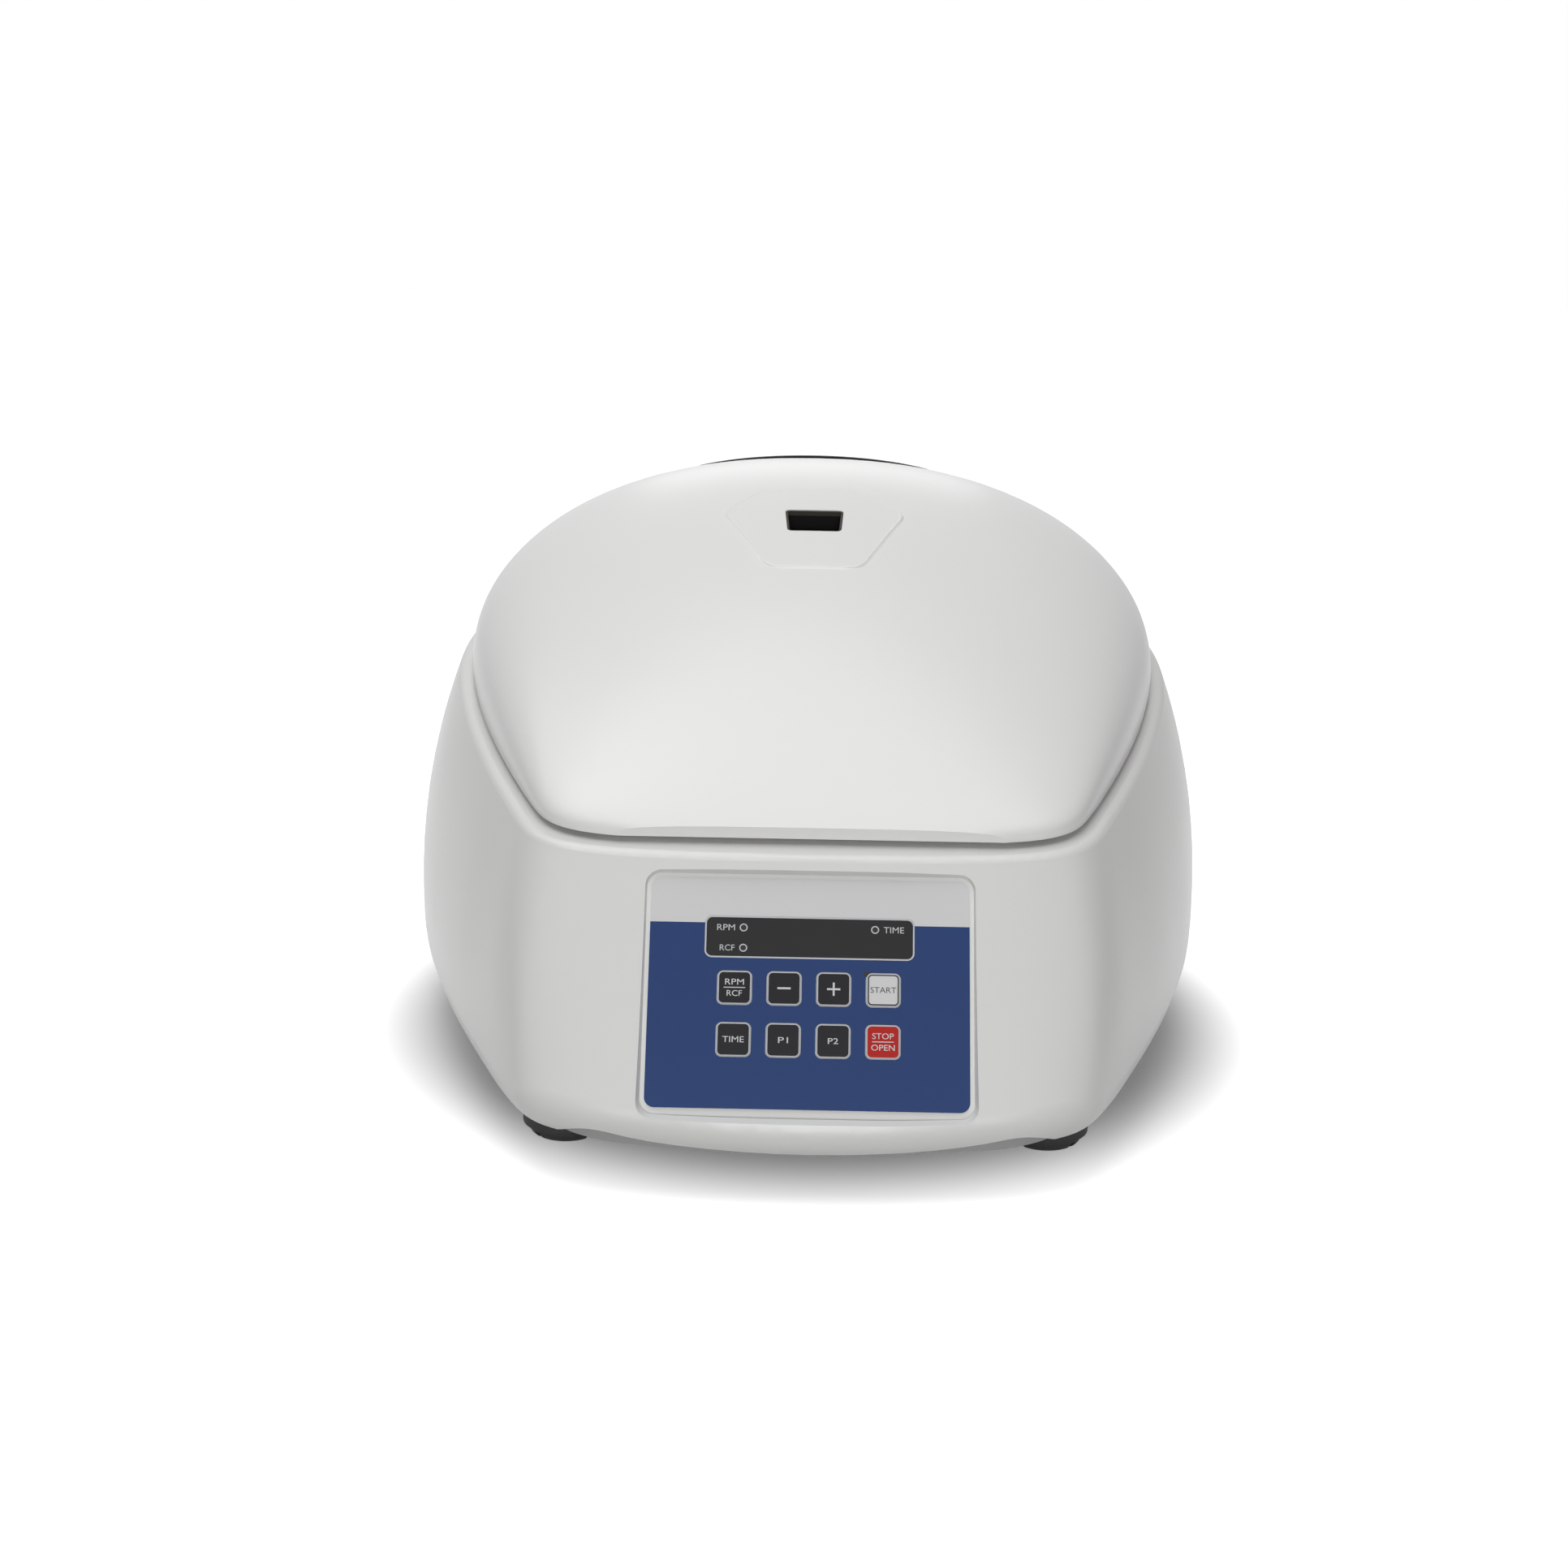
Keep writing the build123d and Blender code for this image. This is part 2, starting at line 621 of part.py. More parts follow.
def make_motor_mount():
    low = DAMPER_LOW + DAMPER_HEIGHT
    mount = rod(MOUNT_RADIUS, low, low + MOUNT_THICKNESS, 0, ROTOR_Y)
    for x, y in damper_places():
        mount -= rod(2.2, 0, 100, x, y)
    for i in range(3):
        scallop = rod(26, 0, 100, 72, 0)
        mount -= Pos(0, ROTOR_Y, 0) * Rot(0, 0, 30 + i * 120) * scallop
    return mount - rod(12, 0, 100, 0, ROTOR_Y)


def make_dampers():
    low = DAMPER_LOW + SEAT
    high = DAMPER_LOW + DAMPER_HEIGHT - SEAT
    middle = (low + high) / 2
    stud = 2.0
    profile = [(0, low), (DAMPER_RADIUS, low), (DAMPER_RADIUS, low + 2), (DAMPER_RADIUS - 1.6, middle),
               (DAMPER_RADIUS, high - 2), (DAMPER_RADIUS, high), (stud, high),
               (stud, high + MOUNT_THICKNESS + 3), (0, high + MOUNT_THICKNESS + 3)]
    return [turned(profile, x, y) for x, y in damper_places()]


def make_shaft_seal():
    hole = BOWL_HOLE - CLEAR
    sit = BOWL_FLOOR + SEAT
    profile = [(6.5, sit - 2.5), (hole, sit - 2.5), (hole, sit), (BOWL_HOLE + 4, sit),
               (BOWL_HOLE + 4, sit + 1.2), (9, sit + 3), (6.5, sit + 3)]
    return turned(profile, 0, ROTOR_Y)


def make_drive_shaft():
    profile = [(0, SHAFT_BOTTOM), (SHAFT_RADIUS, SHAFT_BOTTOM), (SHAFT_RADIUS, HUB_BOTTOM - 4),
               (SHAFT_SHOULDER, HUB_BOTTOM - 4), (SHAFT_SHOULDER, HUB_BOTTOM - SEAT),
               (SHAFT_RADIUS, HUB_BOTTOM - SEAT), (SHAFT_RADIUS, HUB_TOP - 4),
               (THREAD_RADIUS, HUB_TOP - 4), (THREAD_RADIUS, HUB_TOP + 8), (0, HUB_TOP + 8)]
    return turned(profile, 0, ROTOR_Y)


# Rotor: a dished plate that stands square to the sleeves
def seat_radius():
    return SLEEVE_LOW_RADIUS - SEAT_DISTANCE * sin(radians(SLEEVE_TILT))


def plate_height(radius):
    seat = SLEEVE_LOW_Z + SEAT_DISTANCE * cos(radians(SLEEVE_TILT))
    return seat + (radius - seat_radius()) * tan(radians(SLEEVE_TILT))


def at_sleeve(i, shape):
    """Places a shape modelled along Z from the centre of a sleeve's round end."""
    place = Pos(0, ROTOR_Y, 0) * Rot(0, 0, (i + 0.5) * 360 / SLEEVE_COUNT)
    return place * Pos(SLEEVE_LOW_RADIUS, 0, SLEEVE_LOW_Z) * Rot(0, -SLEEVE_TILT, 0) * shape


def make_rotor_head():
    down_x = PLATE_THICKNESS * sin(radians(SLEEVE_TILT))
    down_z = PLATE_THICKNESS * cos(radians(SLEEVE_TILT))
    inner = plate_height(PLATE_INNER)
    outer = plate_height(PLATE_OUTER)
    profile = [(SHAFT_RADIUS + SHAFT_FIT, HUB_BOTTOM), (HUB_RADIUS, HUB_BOTTOM), (HUB_RADIUS, inner - 5),
               (PLATE_INNER + down_x, inner - down_z), (PLATE_OUTER + down_x, outer - down_z),
               (PLATE_OUTER + down_x, outer), (PLATE_OUTER, outer), (PLATE_INNER, inner),
               (HUB_RADIUS, inner), (HUB_RADIUS, HUB_TOP), (SHAFT_RADIUS + SHAFT_FIT, HUB_TOP)]
    head = turned(profile, 0, ROTOR_Y)
    for i in range(SLEEVE_COUNT):
        head += at_sleeve(i, rod(SOCKET_RADIUS, SEAT_DISTANCE - SOCKET_LENGTH, SEAT_DISTANCE - 0.5))
    for i in range(SLEEVE_COUNT):
        head -= at_sleeve(i, rod(SLEEVE_COLLAR + CLEAR, SEAT_DISTANCE, SEAT_DISTANCE + 6))
        head -= at_sleeve(i, rod(SLEEVE_RADIUS + SLEEVE_FIT, 20, 120))
    return head


def make_sleeve(i):
    outer = Sphere(SLEEVE_RADIUS) + rod(SLEEVE_RADIUS, 0, SLEEVE_LENGTH)
    collar_low = SEAT_DISTANCE + SEAT
    outer += rod(SLEEVE_COLLAR, collar_low, collar_low + SLEEVE_COLLAR_HEIGHT)
    bore = SLEEVE_RADIUS - SLEEVE_WALL
    inner = Sphere(bore) + rod(bore, 0, SLEEVE_LENGTH + 1)
    return at_sleeve(i, outer - inner)


def make_rotor_nut():
    low = HUB_TOP + SEAT
    nut = rod(NUT_RADIUS, low, low + NUT_HEIGHT)
    nut = fillet(nut.edges().sort_by(Axis.Z)[-1], 1.6)
    for i in range(FLUTES):
        nut -= Rot(0, 0, i * 360 / FLUTES) * rod(1.4, low + 2, low + NUT_HEIGHT + 1, NUT_RADIUS + 0.3, 0)
    return Pos(0, ROTOR_Y, 0) * (nut - rod(THREAD_RADIUS + SHAFT_FIT, low - 1, HUB_TOP + 9))


# Bowl and gasket
def make_bowl():
    outside = rod(BOWL_RADIUS + BOWL_WALL, BOWL_FLOOR - BOWL_WALL, 200)
    outside = fillet(outside.edges().sort_by(Axis.Z)[0], BOWL_CORNER + BOWL_WALL)
    inside = rod(BOWL_RADIUS, BOWL_FLOOR, 210)
    inside = fillet(inside.edges().sort_by(Axis.Z)[0], BOWL_CORNER)
    bowl = Pos(0, ROTOR_Y, 0) * (outside - inside)
    bowl -= on_deck(block(-FAR, FAR, -FAR, FAR, -FLANGE_THICKNESS / 2, FAR))
    bowl += on_deck(rod(FLANGE_RADIUS, -FLANGE_THICKNESS, 0, 0, ROTOR_V)) - rod(BOWL_RADIUS, 60, FAR, 0, ROTOR_Y)
    bowl -= rod(BOWL_HOLE, 60, 90, 0, ROTOR_Y)
    for x, y in flange_screw_places():
        bowl -= on_deck(rod(1.5, -8, 1, x, y))
    return bowl


def make_flange_screws():
    return [on_deck(Pos(x, y, SEAT) * screw(1.2, 7, 2.4, 1.2)) for x, y in flange_screw_places()]


def make_gasket():
    ring = tube(GASKET_OUTER, GASKET_INNER, SEAT, GASKET_HEIGHT)
    ring = fillet(ring.edges().filter_by(GeomType.CIRCLE).group_by(Axis.Z)[-1], 1.2)
    return on_deck(Pos(0, ROTOR_V, 0) * ring)


# Lid: a row of arches along the deck, wider and higher towards the peak
def lid_width(v):
    if v < WIDEST_Y:
        share = (WIDEST_Y - v) / (WIDEST_Y - LID_FRONT)
        return LID_HALF * (1 - TOP_TAPER * share ** TOP_TAPER_POWER) * (1 - share ** TOP_CORNER) ** (1 / TOP_BOW)
    share = (v - WIDEST_Y) / (LID_BACK - WIDEST_Y)
    return LID_HALF * (1 - share ** 2.6) ** (1 / 2.6)


def lid_height(v):
    if v < LID_PEAK_V:
        share = (LID_PEAK_V - v) / (LID_PEAK_V - LID_FRONT)
        return LID_EDGE + (LID_PEAK - LID_EDGE) * (1 - share ** 1.5) ** 0.9
    share = (v - LID_PEAK_V) / (LID_BACK - LID_PEAK_V)
    return LID_EDGE + (LID_PEAK - LID_EDGE) * (1 - share ** 2.8) ** (1 / 2.8)


def arch(v, inward, low):
    """Cross section of the lid at V, in the plane square to the deck."""
    half = lid_width(v) - inward
    top = lid_height(v) - inward
    front = max(LID_PEAK_V - v, 0) / (LID_PEAK_V - LID_FRONT)
    power = LID_FULLNESS + LID_FRONT_FULLNESS * front ** 2
    points = []
    for i in range(ARCH_POINTS + 1):
        turn = pi * i / ARCH_POINTS
        side = 1 if turn < pi / 2 else -1
        points.append((side * half * abs(cos(turn)) ** (2 / power), v,
                       low + (top - low) * abs(sin(turn)) ** (2 / power)))
    return make_face([Spline(*points), Line((-half, v, low), (half, v, low))])


def lid_form(inward=0.0, low=LID_GAP):
    front_shares = (0.985, 0.965, 0.93, 0.87, 0.78, 0.65, 0.48, 0.25)
    back_shares = (0.0, 0.35, 0.6, 0.78, 0.9, 0.97)
    stations = [WIDEST_Y - (WIDEST_Y - LID_FRONT) * share for share in front_shares]
    stations += [WIDEST_Y + (LID_BACK - WIDEST_Y) * share for share in back_shares]
    stations[0] += inward
    stations[-1] -= inward
    form = loft([arch(v, inward, low) for v in stations])
    tail = form.faces().sort_by(Axis.Y)[-1].edges().sort_by(Axis.Z)[-1]
    return on_deck(fillet(tail, LID_TAIL_ROUND - inward if inward < 0 else LID_TAIL_ROUND))


def port_outline(grow):
    (front_half, front_v), (back_half, back_v) = PORT_FRONT, PORT_BACK
    corners = [(-front_half - grow, front_v - grow), (front_half + grow, front_v - grow),
               (back_half + grow, back_v + grow), (-back_half - grow, back_v + grow)]
    face = make_face(Polyline(*corners, close=True))
    return fillet(face.vertices(), 2.0 + grow * 0.5)


def port_prism(grow, low, high):
    return on_deck(Pos(0, 0, low) * extrude(port_outline(grow), amount=high - low))


def pad_prism():
    front, middle, back = PAD_CORNERS
    right = [front, middle, back]
    left = [(-x, v) for x, v in reversed(right)]
    face = make_face(Polyline(*right, *left, close=True))
    return on_deck(Pos(0, 0, 30) * extrude(fillet(face.vertices(), PAD_ROUND), amount=60))


def liner_screw_places():
    return [(side * x, v) for side in (-1, 1) for x, v in LINER_SCREWS]


STRIKER_BASE = LINER_LOW + LINER_THICKNESS + 1.0
STRIKER_HALF = (11.0, 7.0)
STRIKER_SCREW_X = 7.0


def make_lid_shell():
    inside = lid_form(1.0, LID_GAP - 1)
    posts = [on_deck(rod(4.0, LINER_LOW + LINER_THICKNESS + SEAT, 90, x, v)) for x, v in liner_screw_places()]
    striker_x, striker_v = STRIKER_HALF
    posts.append(on_deck(block(-striker_x, striker_x, LATCH_V - striker_v, LATCH_V + striker_v,
                               STRIKER_BASE + STRIKER_THICKNESS + SEAT, 60)))
    posts.append(port_prism(PORT_WALL, PORT_FLOOR, 80))
    cuts = [port_prism(0, 40, 90), port_prism(WINDOW_LAP + SEAT, 40, PORT_FLOOR + WINDOW_THICKNESS + SEAT)]
    cuts += [on_deck(rod(1.3, 0, LINER_LOW + LINER_THICKNESS + 7, x, v)) for x, v in liner_screw_places()]
    cuts += [on_deck(rod(1.3, 0, STRIKER_BASE + STRIKER_THICKNESS + 3.5, side * STRIKER_SCREW_X, LATCH_V))
             for side in (-1, 1)]
    cuts += [on_deck(Pos(x, 150, LEAF_SCREW_W) * Rot(-90, 0, 0) * rod(1.3, 0, 20)) for x in LEAF_SCREWS]
    outer = lid_form() + (lid_form(-PAD_RISE) & pad_prism())
    return outer - lid_form(WALL, LID_GAP - 1) + [post & inside for post in posts] - cuts


def make_window():
    return port_prism(WINDOW_LAP, PORT_FLOOR, PORT_FLOOR + WINDOW_THICKNESS)


def make_liner():
    flange = lid_form(LINER_INSET, LID_GAP - 1) & on_deck(
        block(-FAR, FAR, -FAR, FAR, LINER_LOW, LINER_LOW + LINER_THICKNESS))
    flange -= on_deck(rod(LINER_SHOULDER - 2, 0, 20, 0, ROTOR_V))
    high = LINER_LOW + LINER_THICKNESS
    profile = [(0, LINER_TOP), (LINER_CROWN, LINER_TOP), (LINER_SHOULDER, high), (LINER_SHOULDER, LINER_LOW),
               (LINER_SHOULDER - 3.4, LINER_LOW), (LINER_CROWN - 1.1, LINER_TOP - LINER_THICKNESS),
               (0, LINER_TOP - LINER_THICKNESS)]
    liner = flange + on_deck(turned(profile, 0, ROTOR_V))
    collar = port_prism(PORT_WALL + 1.5, LINER_TOP - 1, PORT_FLOOR - 1.0) - port_prism(PORT_WALL, LINER_TOP, 90)
    liner += collar
    liner -= on_deck(rod(SIGHT_RADIUS, LINER_TOP - LINER_THICKNESS - 1, LINER_TOP + 1, 0, PORT_V))
    striker_x, striker_v = STRIKER_HALF
    liner -= on_deck(block(-striker_x - 1, striker_x + 1, LATCH_V - striker_v - 1, LATCH_V + striker_v + 1, 0, 20))
    for x, v in liner_screw_places():
        liner -= on_deck(rod(1.5, 0, 20, x, v))
    return liner


def make_liner_screws():
    return [on_deck(Pos(x, v, LINER_LOW - SEAT) * upside_down(screw(1.2, 8, 2.4, 1.4)))
            for x, v in liner_screw_places()]


# Latch: a plate on the lid with a hole for the bolt of a two-way solenoid
def make_striker():
    striker_x, striker_v = STRIKER_HALF
    plate = block(-striker_x, striker_x, LATCH_V - striker_v, LATCH_V + striker_v,
                  STRIKER_BASE, STRIKER_BASE + STRIKER_THICKNESS)
    half = STRIKER_THICKNESS / 2
    tongue = block(-half, half, LATCH_V - 6, LATCH_V + 6, LATCH_W - 6.5, STRIKER_BASE + 1)
    tongue = fillet(tongue.edges().filter_by(Axis.X).group_by(Axis.Z)[0], 3.0)
    hole = BOLT_RADIUS + STRIKER_GAP
    striker = plate + tongue
    striker -= block(-5, 5, LATCH_V - hole, LATCH_V + hole, LATCH_W - hole, LATCH_W + hole)
    for side in (-1, 1):
        striker -= rod(1.5, 0, 20, side * STRIKER_SCREW_X, LATCH_V)
    return on_deck(striker)


def make_striker_screws():
    return [on_deck(Pos(side * STRIKER_SCREW_X, LATCH_V, STRIKER_BASE - SEAT)
                    * upside_down(screw(1.2, 4.8, 2.4, 1.4))) for side in (-1, 1)]


def make_latch_bracket():
    top = -WALL - SEAT
    plate = block(-12, SOLENOID_START + SOLENOID_LENGTH, LATCH_V - 9, LATCH_V + 9, top - 2, top)
    plate -= block(-4, 4, LATCH_V - 8.5 + 1, LATCH_V + 8.5 - 1, -20, 0)
    bracket = plate
    for x in (-CHEEK_INNER - CHEEK_THICKNESS, CHEEK_INNER):
        bracket += block(x, x + CHEEK_THICKNESS, LATCH_V - 8, LATCH_V + 8, LATCH_W - 8, top - 1)
    return on_deck(bracket - rod_x(BOLT_RADIUS + BOLT_FIT, -20, 20, LATCH_V, LATCH_W))


def make_latch_bolt():
    bolt = rod_x(BOLT_RADIUS, BOLT_NOSE, BOLT_NOSE + BOLT_LENGTH, LATCH_V, LATCH_W)
    bolt = chamfer(bolt.edges().filter_by(GeomType.CIRCLE).sort_by(Axis.X)[0], 0.8)
    collar = rod_x(BOLT_RADIUS + 0.6, SOLENOID_START - 1.6, SOLENOID_START - 0.4, LATCH_V, LATCH_W)
    return on_deck(bolt + collar)


def make_solenoid():
    x0, x1 = SOLENOID_START, SOLENOID_START + SOLENOID_LENGTH
    top = -WALL - 2 - 2 * SEAT
    low = LATCH_W - 8
    frame = block(x0, x0 + 2, LATCH_V - 8, LATCH_V + 8, low, top)
    frame += block(x1 - 2, x1, LATCH_V - 8, LATCH_V + 8, low, top)
    frame += block(x0, x1, LATCH_V - 8, LATCH_V + 8, low, low + 2)
    coil_high = top - LATCH_W - 0.5
    frame += rod_x(min(coil_high, 7.0), x0 + 1, x1 - 1, LATCH_V, LATCH_W)
    frame += block(x0, x1, LATCH_V - 8, LATCH_V + 8, top - 1.2, top)
    return on_deck(frame - rod_x(BOLT_RADIUS + BOLT_FIT, x0 - 1, x1 + 1, LATCH_V, LATCH_W))


# Hinge: knuckles on the deck and on the back of the lid, on one pin
LID_TAIL_V = WIDEST_Y + (LID_BACK - WIDEST_Y) * 0.97
LEAF_SCREWS = (-24.0, -8.0, 8.0, 24.0)
LEAF_SCREW_W = 19.5
LEAF_KNUCKLES = [(KNUCKLES[i][1] + 0.4, KNUCKLES[i + 1][0] - 0.4) for i in (0, 1)]


def make_hinge_bracket():
    x0, x1 = KNUCKLES[0][0], KNUCKLES[-1][1]
    bracket = block(x0, x1, HINGE_V - 5, HINGE_V + 3.4, SEAT, HINGE_PLATE)
    for a, b in KNUCKLES:
        bracket += rod_x(BARREL_RADIUS, a, b, HINGE_V, HINGE_W)
        bracket += block(a, b, HINGE_V - 3.4, HINGE_V + 3.4, HINGE_PLATE - 1, HINGE_W)
    bracket -= rod_x(PIN_RADIUS + SHAFT_FIT, x0 - 1, x1 + 1, HINGE_V, HINGE_W)
    for x in HINGE_SCREWS:
        bracket -= rod(1.7, 0, 10, x, HINGE_V)
    return on_deck(bracket)


def make_hinge_screws():
    return [on_deck(Pos(x, HINGE_V, HINGE_PLATE + SEAT) * screw(1.5, 11, 2.8, 1.6)) for x in HINGE_SCREWS]


def make_hinge_leaf():
    v0 = LID_TAIL_V + SEAT
    leaf = block(-30, 30, v0, v0 + HINGE_PLATE, 6, LEAF_SCREW_W + 4.5)
    leaf = fillet(leaf.edges().filter_by(Axis.Y), 1.5)
    for a, b in LEAF_KNUCKLES:
        leaf += rod_x(BARREL_RADIUS, a, b, HINGE_V, HINGE_W)
        leaf += block(a, b, v0 + 1, HINGE_V, HINGE_W - 2, HINGE_W + 2)
    leaf -= rod_x(PIN_RADIUS + SHAFT_FIT, -60, 60, HINGE_V, HINGE_W)
    for x in LEAF_SCREWS:
        leaf -= Pos(x, 150, LEAF_SCREW_W) * Rot(-90, 0, 0) * rod(1.5, 0, 30)
    return on_deck(leaf)


def make_leaf_screws():
    v = LID_TAIL_V + HINGE_PLATE + 2 * SEAT
    return [on_deck(Pos(x, v, LEAF_SCREW_W) * Rot(-90, 0, 0) * screw(1.2, 5.5, 2.4, 1.4)) for x in LEAF_SCREWS]


def make_hinge_pin():
    half = KNUCKLES[-1][1] + 0.4
    pin = rod_x(PIN_RADIUS, -half, half, HINGE_V, HINGE_W)
    for x in (-half - 1.4, half):
        pin += rod_x(PIN_RADIUS + 1.2, x, x + 1.4, HINGE_V, HINGE_W)
    return on_deck(pin)


def make_rear_cover():
    strip = on_deck(block(-COVER_HALF, COVER_HALF, COVER_FRONT, 190, COVER_LOW, 100))
    return (lid_form(-COVER_PROUD) - lid_form(-CLEAR)) & strip


# Keypad, its board and the display
def make_keypad():
    sheet = rounded_plate(KEYPAD_WIDTH, KEYPAD_HEIGHT, KEYPAD_ROUND, SEAT / 2, KEYPAD_THICKNESS)
    size = KEY_SIZE + 2 * KEY_GAP
    for x, y in key_places():
        sheet -= rounded_plate(size, size, KEY_ROUND + KEY_GAP, -1, 2, x, y)
    sheet -= rounded_plate(DISPLAY_WIDTH + SEAT, DISPLAY_HEIGHT + SEAT, DISPLAY_ROUND, -1, 2, 0, DISPLAY_UP)
    return on_panel(sheet)


def make_key(x, y):
    top = KEYPAD_THICKNESS + KEY_PROUD
    cap = rounded_plate(KEY_SIZE, KEY_SIZE, KEY_ROUND, KEY_STROKE + 0.1, top)
    cap = chamfer(cap.faces().sort_by(Axis.Z)[-1].edges(), 0.2)
    stem = rounded_plate(KEY_STEM, KEY_STEM, 1.0, -WALL + 0.1, KEY_STROKE + 0.1)
    return on_panel(Pos(x, y, 0) * (cap + stem))


def make_display_window():
    return on_panel(rounded_plate(DISPLAY_WIDTH, DISPLAY_HEIGHT, DISPLAY_ROUND, SEAT / 2, KEYPAD_THICKNESS,
                                  0, DISPLAY_UP))


def make_display_module():
    low = -WALL - BOARD_GAP + SEAT
    return on_panel(block(-30, 30, DISPLAY_UP - 5.2, DISPLAY_UP + 5.2, low, -0.3))


def make_control_board():
    high = -WALL - BOARD_GAP
    low = high - BOARD_THICKNESS
    board = rounded_plate(BOARD_WIDTH, BOARD_HEIGHT, 2.0, low, high)
    for x, y in board_posts():
        board -= rod(1.2, low - 1, high + 1, x, y)
    board += block(-12, 2, -10, 4, low - 1.6, low)
    board += block(14, 34, -6, 0, low - 7, low)
    board += block(-36, -24, 14, 22, low - 6, low)
    return on_panel(board)


def make_key_domes():
    low = -WALL - BOARD_GAP + SEAT / 2
    dome = rod(DOME_RADIUS, low, low + DOME_RISE - SEAT / 2)
    dome = chamfer(dome.edges().sort_by(Axis.Z)[-1], 0.5)
    return [on_panel(Pos(x, y, 0) * dome) for x, y in key_places()]


# Power inlet and switch
def make_inlet():
    flange = rounded_plate(*INLET_FLANGE, 4.0, SEAT, 2.6)
    body = window_block(INLET_BODY, 0, -INLET_DEPTH, SEAT + 0.5)
    inlet = flange + body - rounded_plate(24.2, 16.6, 2.5, -INLET_DEPTH + 3, 4)
    for x, y in blade_places():
        inlet -= block(x - 0.8, x + 0.8, y - 2.2, y + 2.2, -30, 0)
    for side in (-1, 1):
        inlet -= rod(1.7, -1, 4, side * INLET_SCREW_X, 0)
    return facing_back(inlet, INLET_X, SOCKET_Z)


def blade_places():
    return [(-PIN_PITCH, -1.5), (0.0, 2.5), (PIN_PITCH, -1.5)]


def make_blades():
    return [facing_back(block(x - 0.7, x + 0.7, y - 2.1, y + 2.1, -INLET_DEPTH - 6, -3), INLET_X, SOCKET_Z)
            for x, y in blade_places()]


def make_inlet_screws():
    return [facing_back(Pos(side * INLET_SCREW_X, 0, 2.6 + SEAT) * screw(1.5, 9, 2.8, 1.6), INLET_X, SOCKET_Z)
            for side in (-1, 1)]


def make_switch_frame():
    frame = rounded_plate(*SWITCH_FRAME, 1.5, SEAT, 1.8)
    frame += window_block(SWITCH_BODY, 0, -14, SEAT + 0.5)
    frame -= block(-9.0, 9.0, -5.5, 5.5, -12, 4)
    frame -= Pos(0, 0, ROCKER_PIVOT) * Rot(90, 0, 0) * Cylinder(1.06, 13)
    for x in (-5, 5):
        frame += block(x - 0.4, x + 0.4, -3, 3, -20, -13)
    return facing_back(frame, SWITCH_X, SOCKET_Z)


def make_rocker():
    """Rocker in its off position; it turns about a vertical pivot."""
    profile = Polyline((-8, 1.4), (0, -0.2), (8, 1.4), (7.4, -3), (3, -8), (-3, -8), (-7.4, -3), close=True)
    rocker = extrude(Plane.XZ * make_face(profile), amount=5.2, both=True)
    rocker += Pos(0, 0, ROCKER_PIVOT) * Rot(90, 0, 0) * Cylinder(1.0, 12.6)
    turn = Pos(0, 0, ROCKER_PIVOT) * Rot(0, ROCKER_TILT, 0) * Pos(0, 0, -ROCKER_PIVOT)
    return facing_back(turn * rocker, SWITCH_X, SOCKET_Z)


KEY_NAMES = ("time", "p1", "p2", "stop_open")
UPPER_KEY_NAMES = ("rpm_rcf", "minus", "plus", "start")

save("housing", make_housing())
save("base_tray", make_tray())
for name, (x, y) in FOOT_PLACES.items():
    save(f"foot_{name}", Pos(x, y, 0) * make_foot())
save("foot_screws", *make_foot_screws())
save("base_screws", *make_base_screws())
save("power_board", make_power_board())
save("motor", make_motor())
save("motor_mount", make_motor_mount())
save("motor_dampers", *make_dampers())
save("shaft_seal", make_shaft_seal())
save("drive_shaft", make_drive_shaft())
save("rotor_head", make_rotor_head())
for i in range(SLEEVE_COUNT):
    save(f"tube_sleeve_{i + 1}", make_sleeve(i))
save("rotor_nut", make_rotor_nut())
save("chamber_bowl", make_bowl())
save("bowl_screws", *make_flange_screws())
save("lid_gasket", make_gasket())
save("lid_shell", make_lid_shell())
save("viewing_window", make_window())
save("lid_liner", make_liner())
save("liner_screws", *make_liner_screws())
save("lid_striker", make_striker())
save("striker_screws", *make_striker_screws())
save("rear_cover", make_rear_cover())
save("latch_bracket", make_latch_bracket())
save("latch_bolt", make_latch_bolt())
save("latch_solenoid", make_solenoid())
save("hinge_bracket", make_hinge_bracket())
save("hinge_screws", *make_hinge_screws())
save("hinge_leaf", make_hinge_leaf())
save("leaf_screws", *make_leaf_screws())
save("hinge_pin", make_hinge_pin())
save("keypad_overlay", make_keypad())
for name, (x, y) in zip(UPPER_KEY_NAMES + KEY_NAMES, key_places()):
    save(f"key_{name}", make_key(x, y))
save("display_window", make_display_window())
save("display_module", make_display_module())
save("control_board", make_control_board())
save("key_domes", *make_key_domes())
save("power_inlet", make_inlet())
save("inlet_pins", *make_blades())
save("inlet_screws", *make_inlet_screws())
save("switch_frame", make_switch_frame())
save("power_rocker", make_rocker())
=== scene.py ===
import bmesh
import bpy
from math import cos, pi, radians, sin
from mathutils import Matrix, Vector
from mathutils.bvhtree import BVHTree


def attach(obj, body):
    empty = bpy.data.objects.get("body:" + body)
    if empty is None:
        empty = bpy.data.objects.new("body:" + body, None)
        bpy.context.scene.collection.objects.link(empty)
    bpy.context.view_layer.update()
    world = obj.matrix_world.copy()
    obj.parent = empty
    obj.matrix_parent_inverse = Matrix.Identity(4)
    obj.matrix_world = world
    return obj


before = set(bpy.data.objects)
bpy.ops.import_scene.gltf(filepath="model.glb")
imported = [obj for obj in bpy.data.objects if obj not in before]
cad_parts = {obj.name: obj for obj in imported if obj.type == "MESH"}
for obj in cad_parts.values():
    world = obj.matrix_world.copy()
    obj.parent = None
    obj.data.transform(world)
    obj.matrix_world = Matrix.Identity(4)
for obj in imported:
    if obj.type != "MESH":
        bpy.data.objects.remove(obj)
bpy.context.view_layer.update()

MM = 0.001

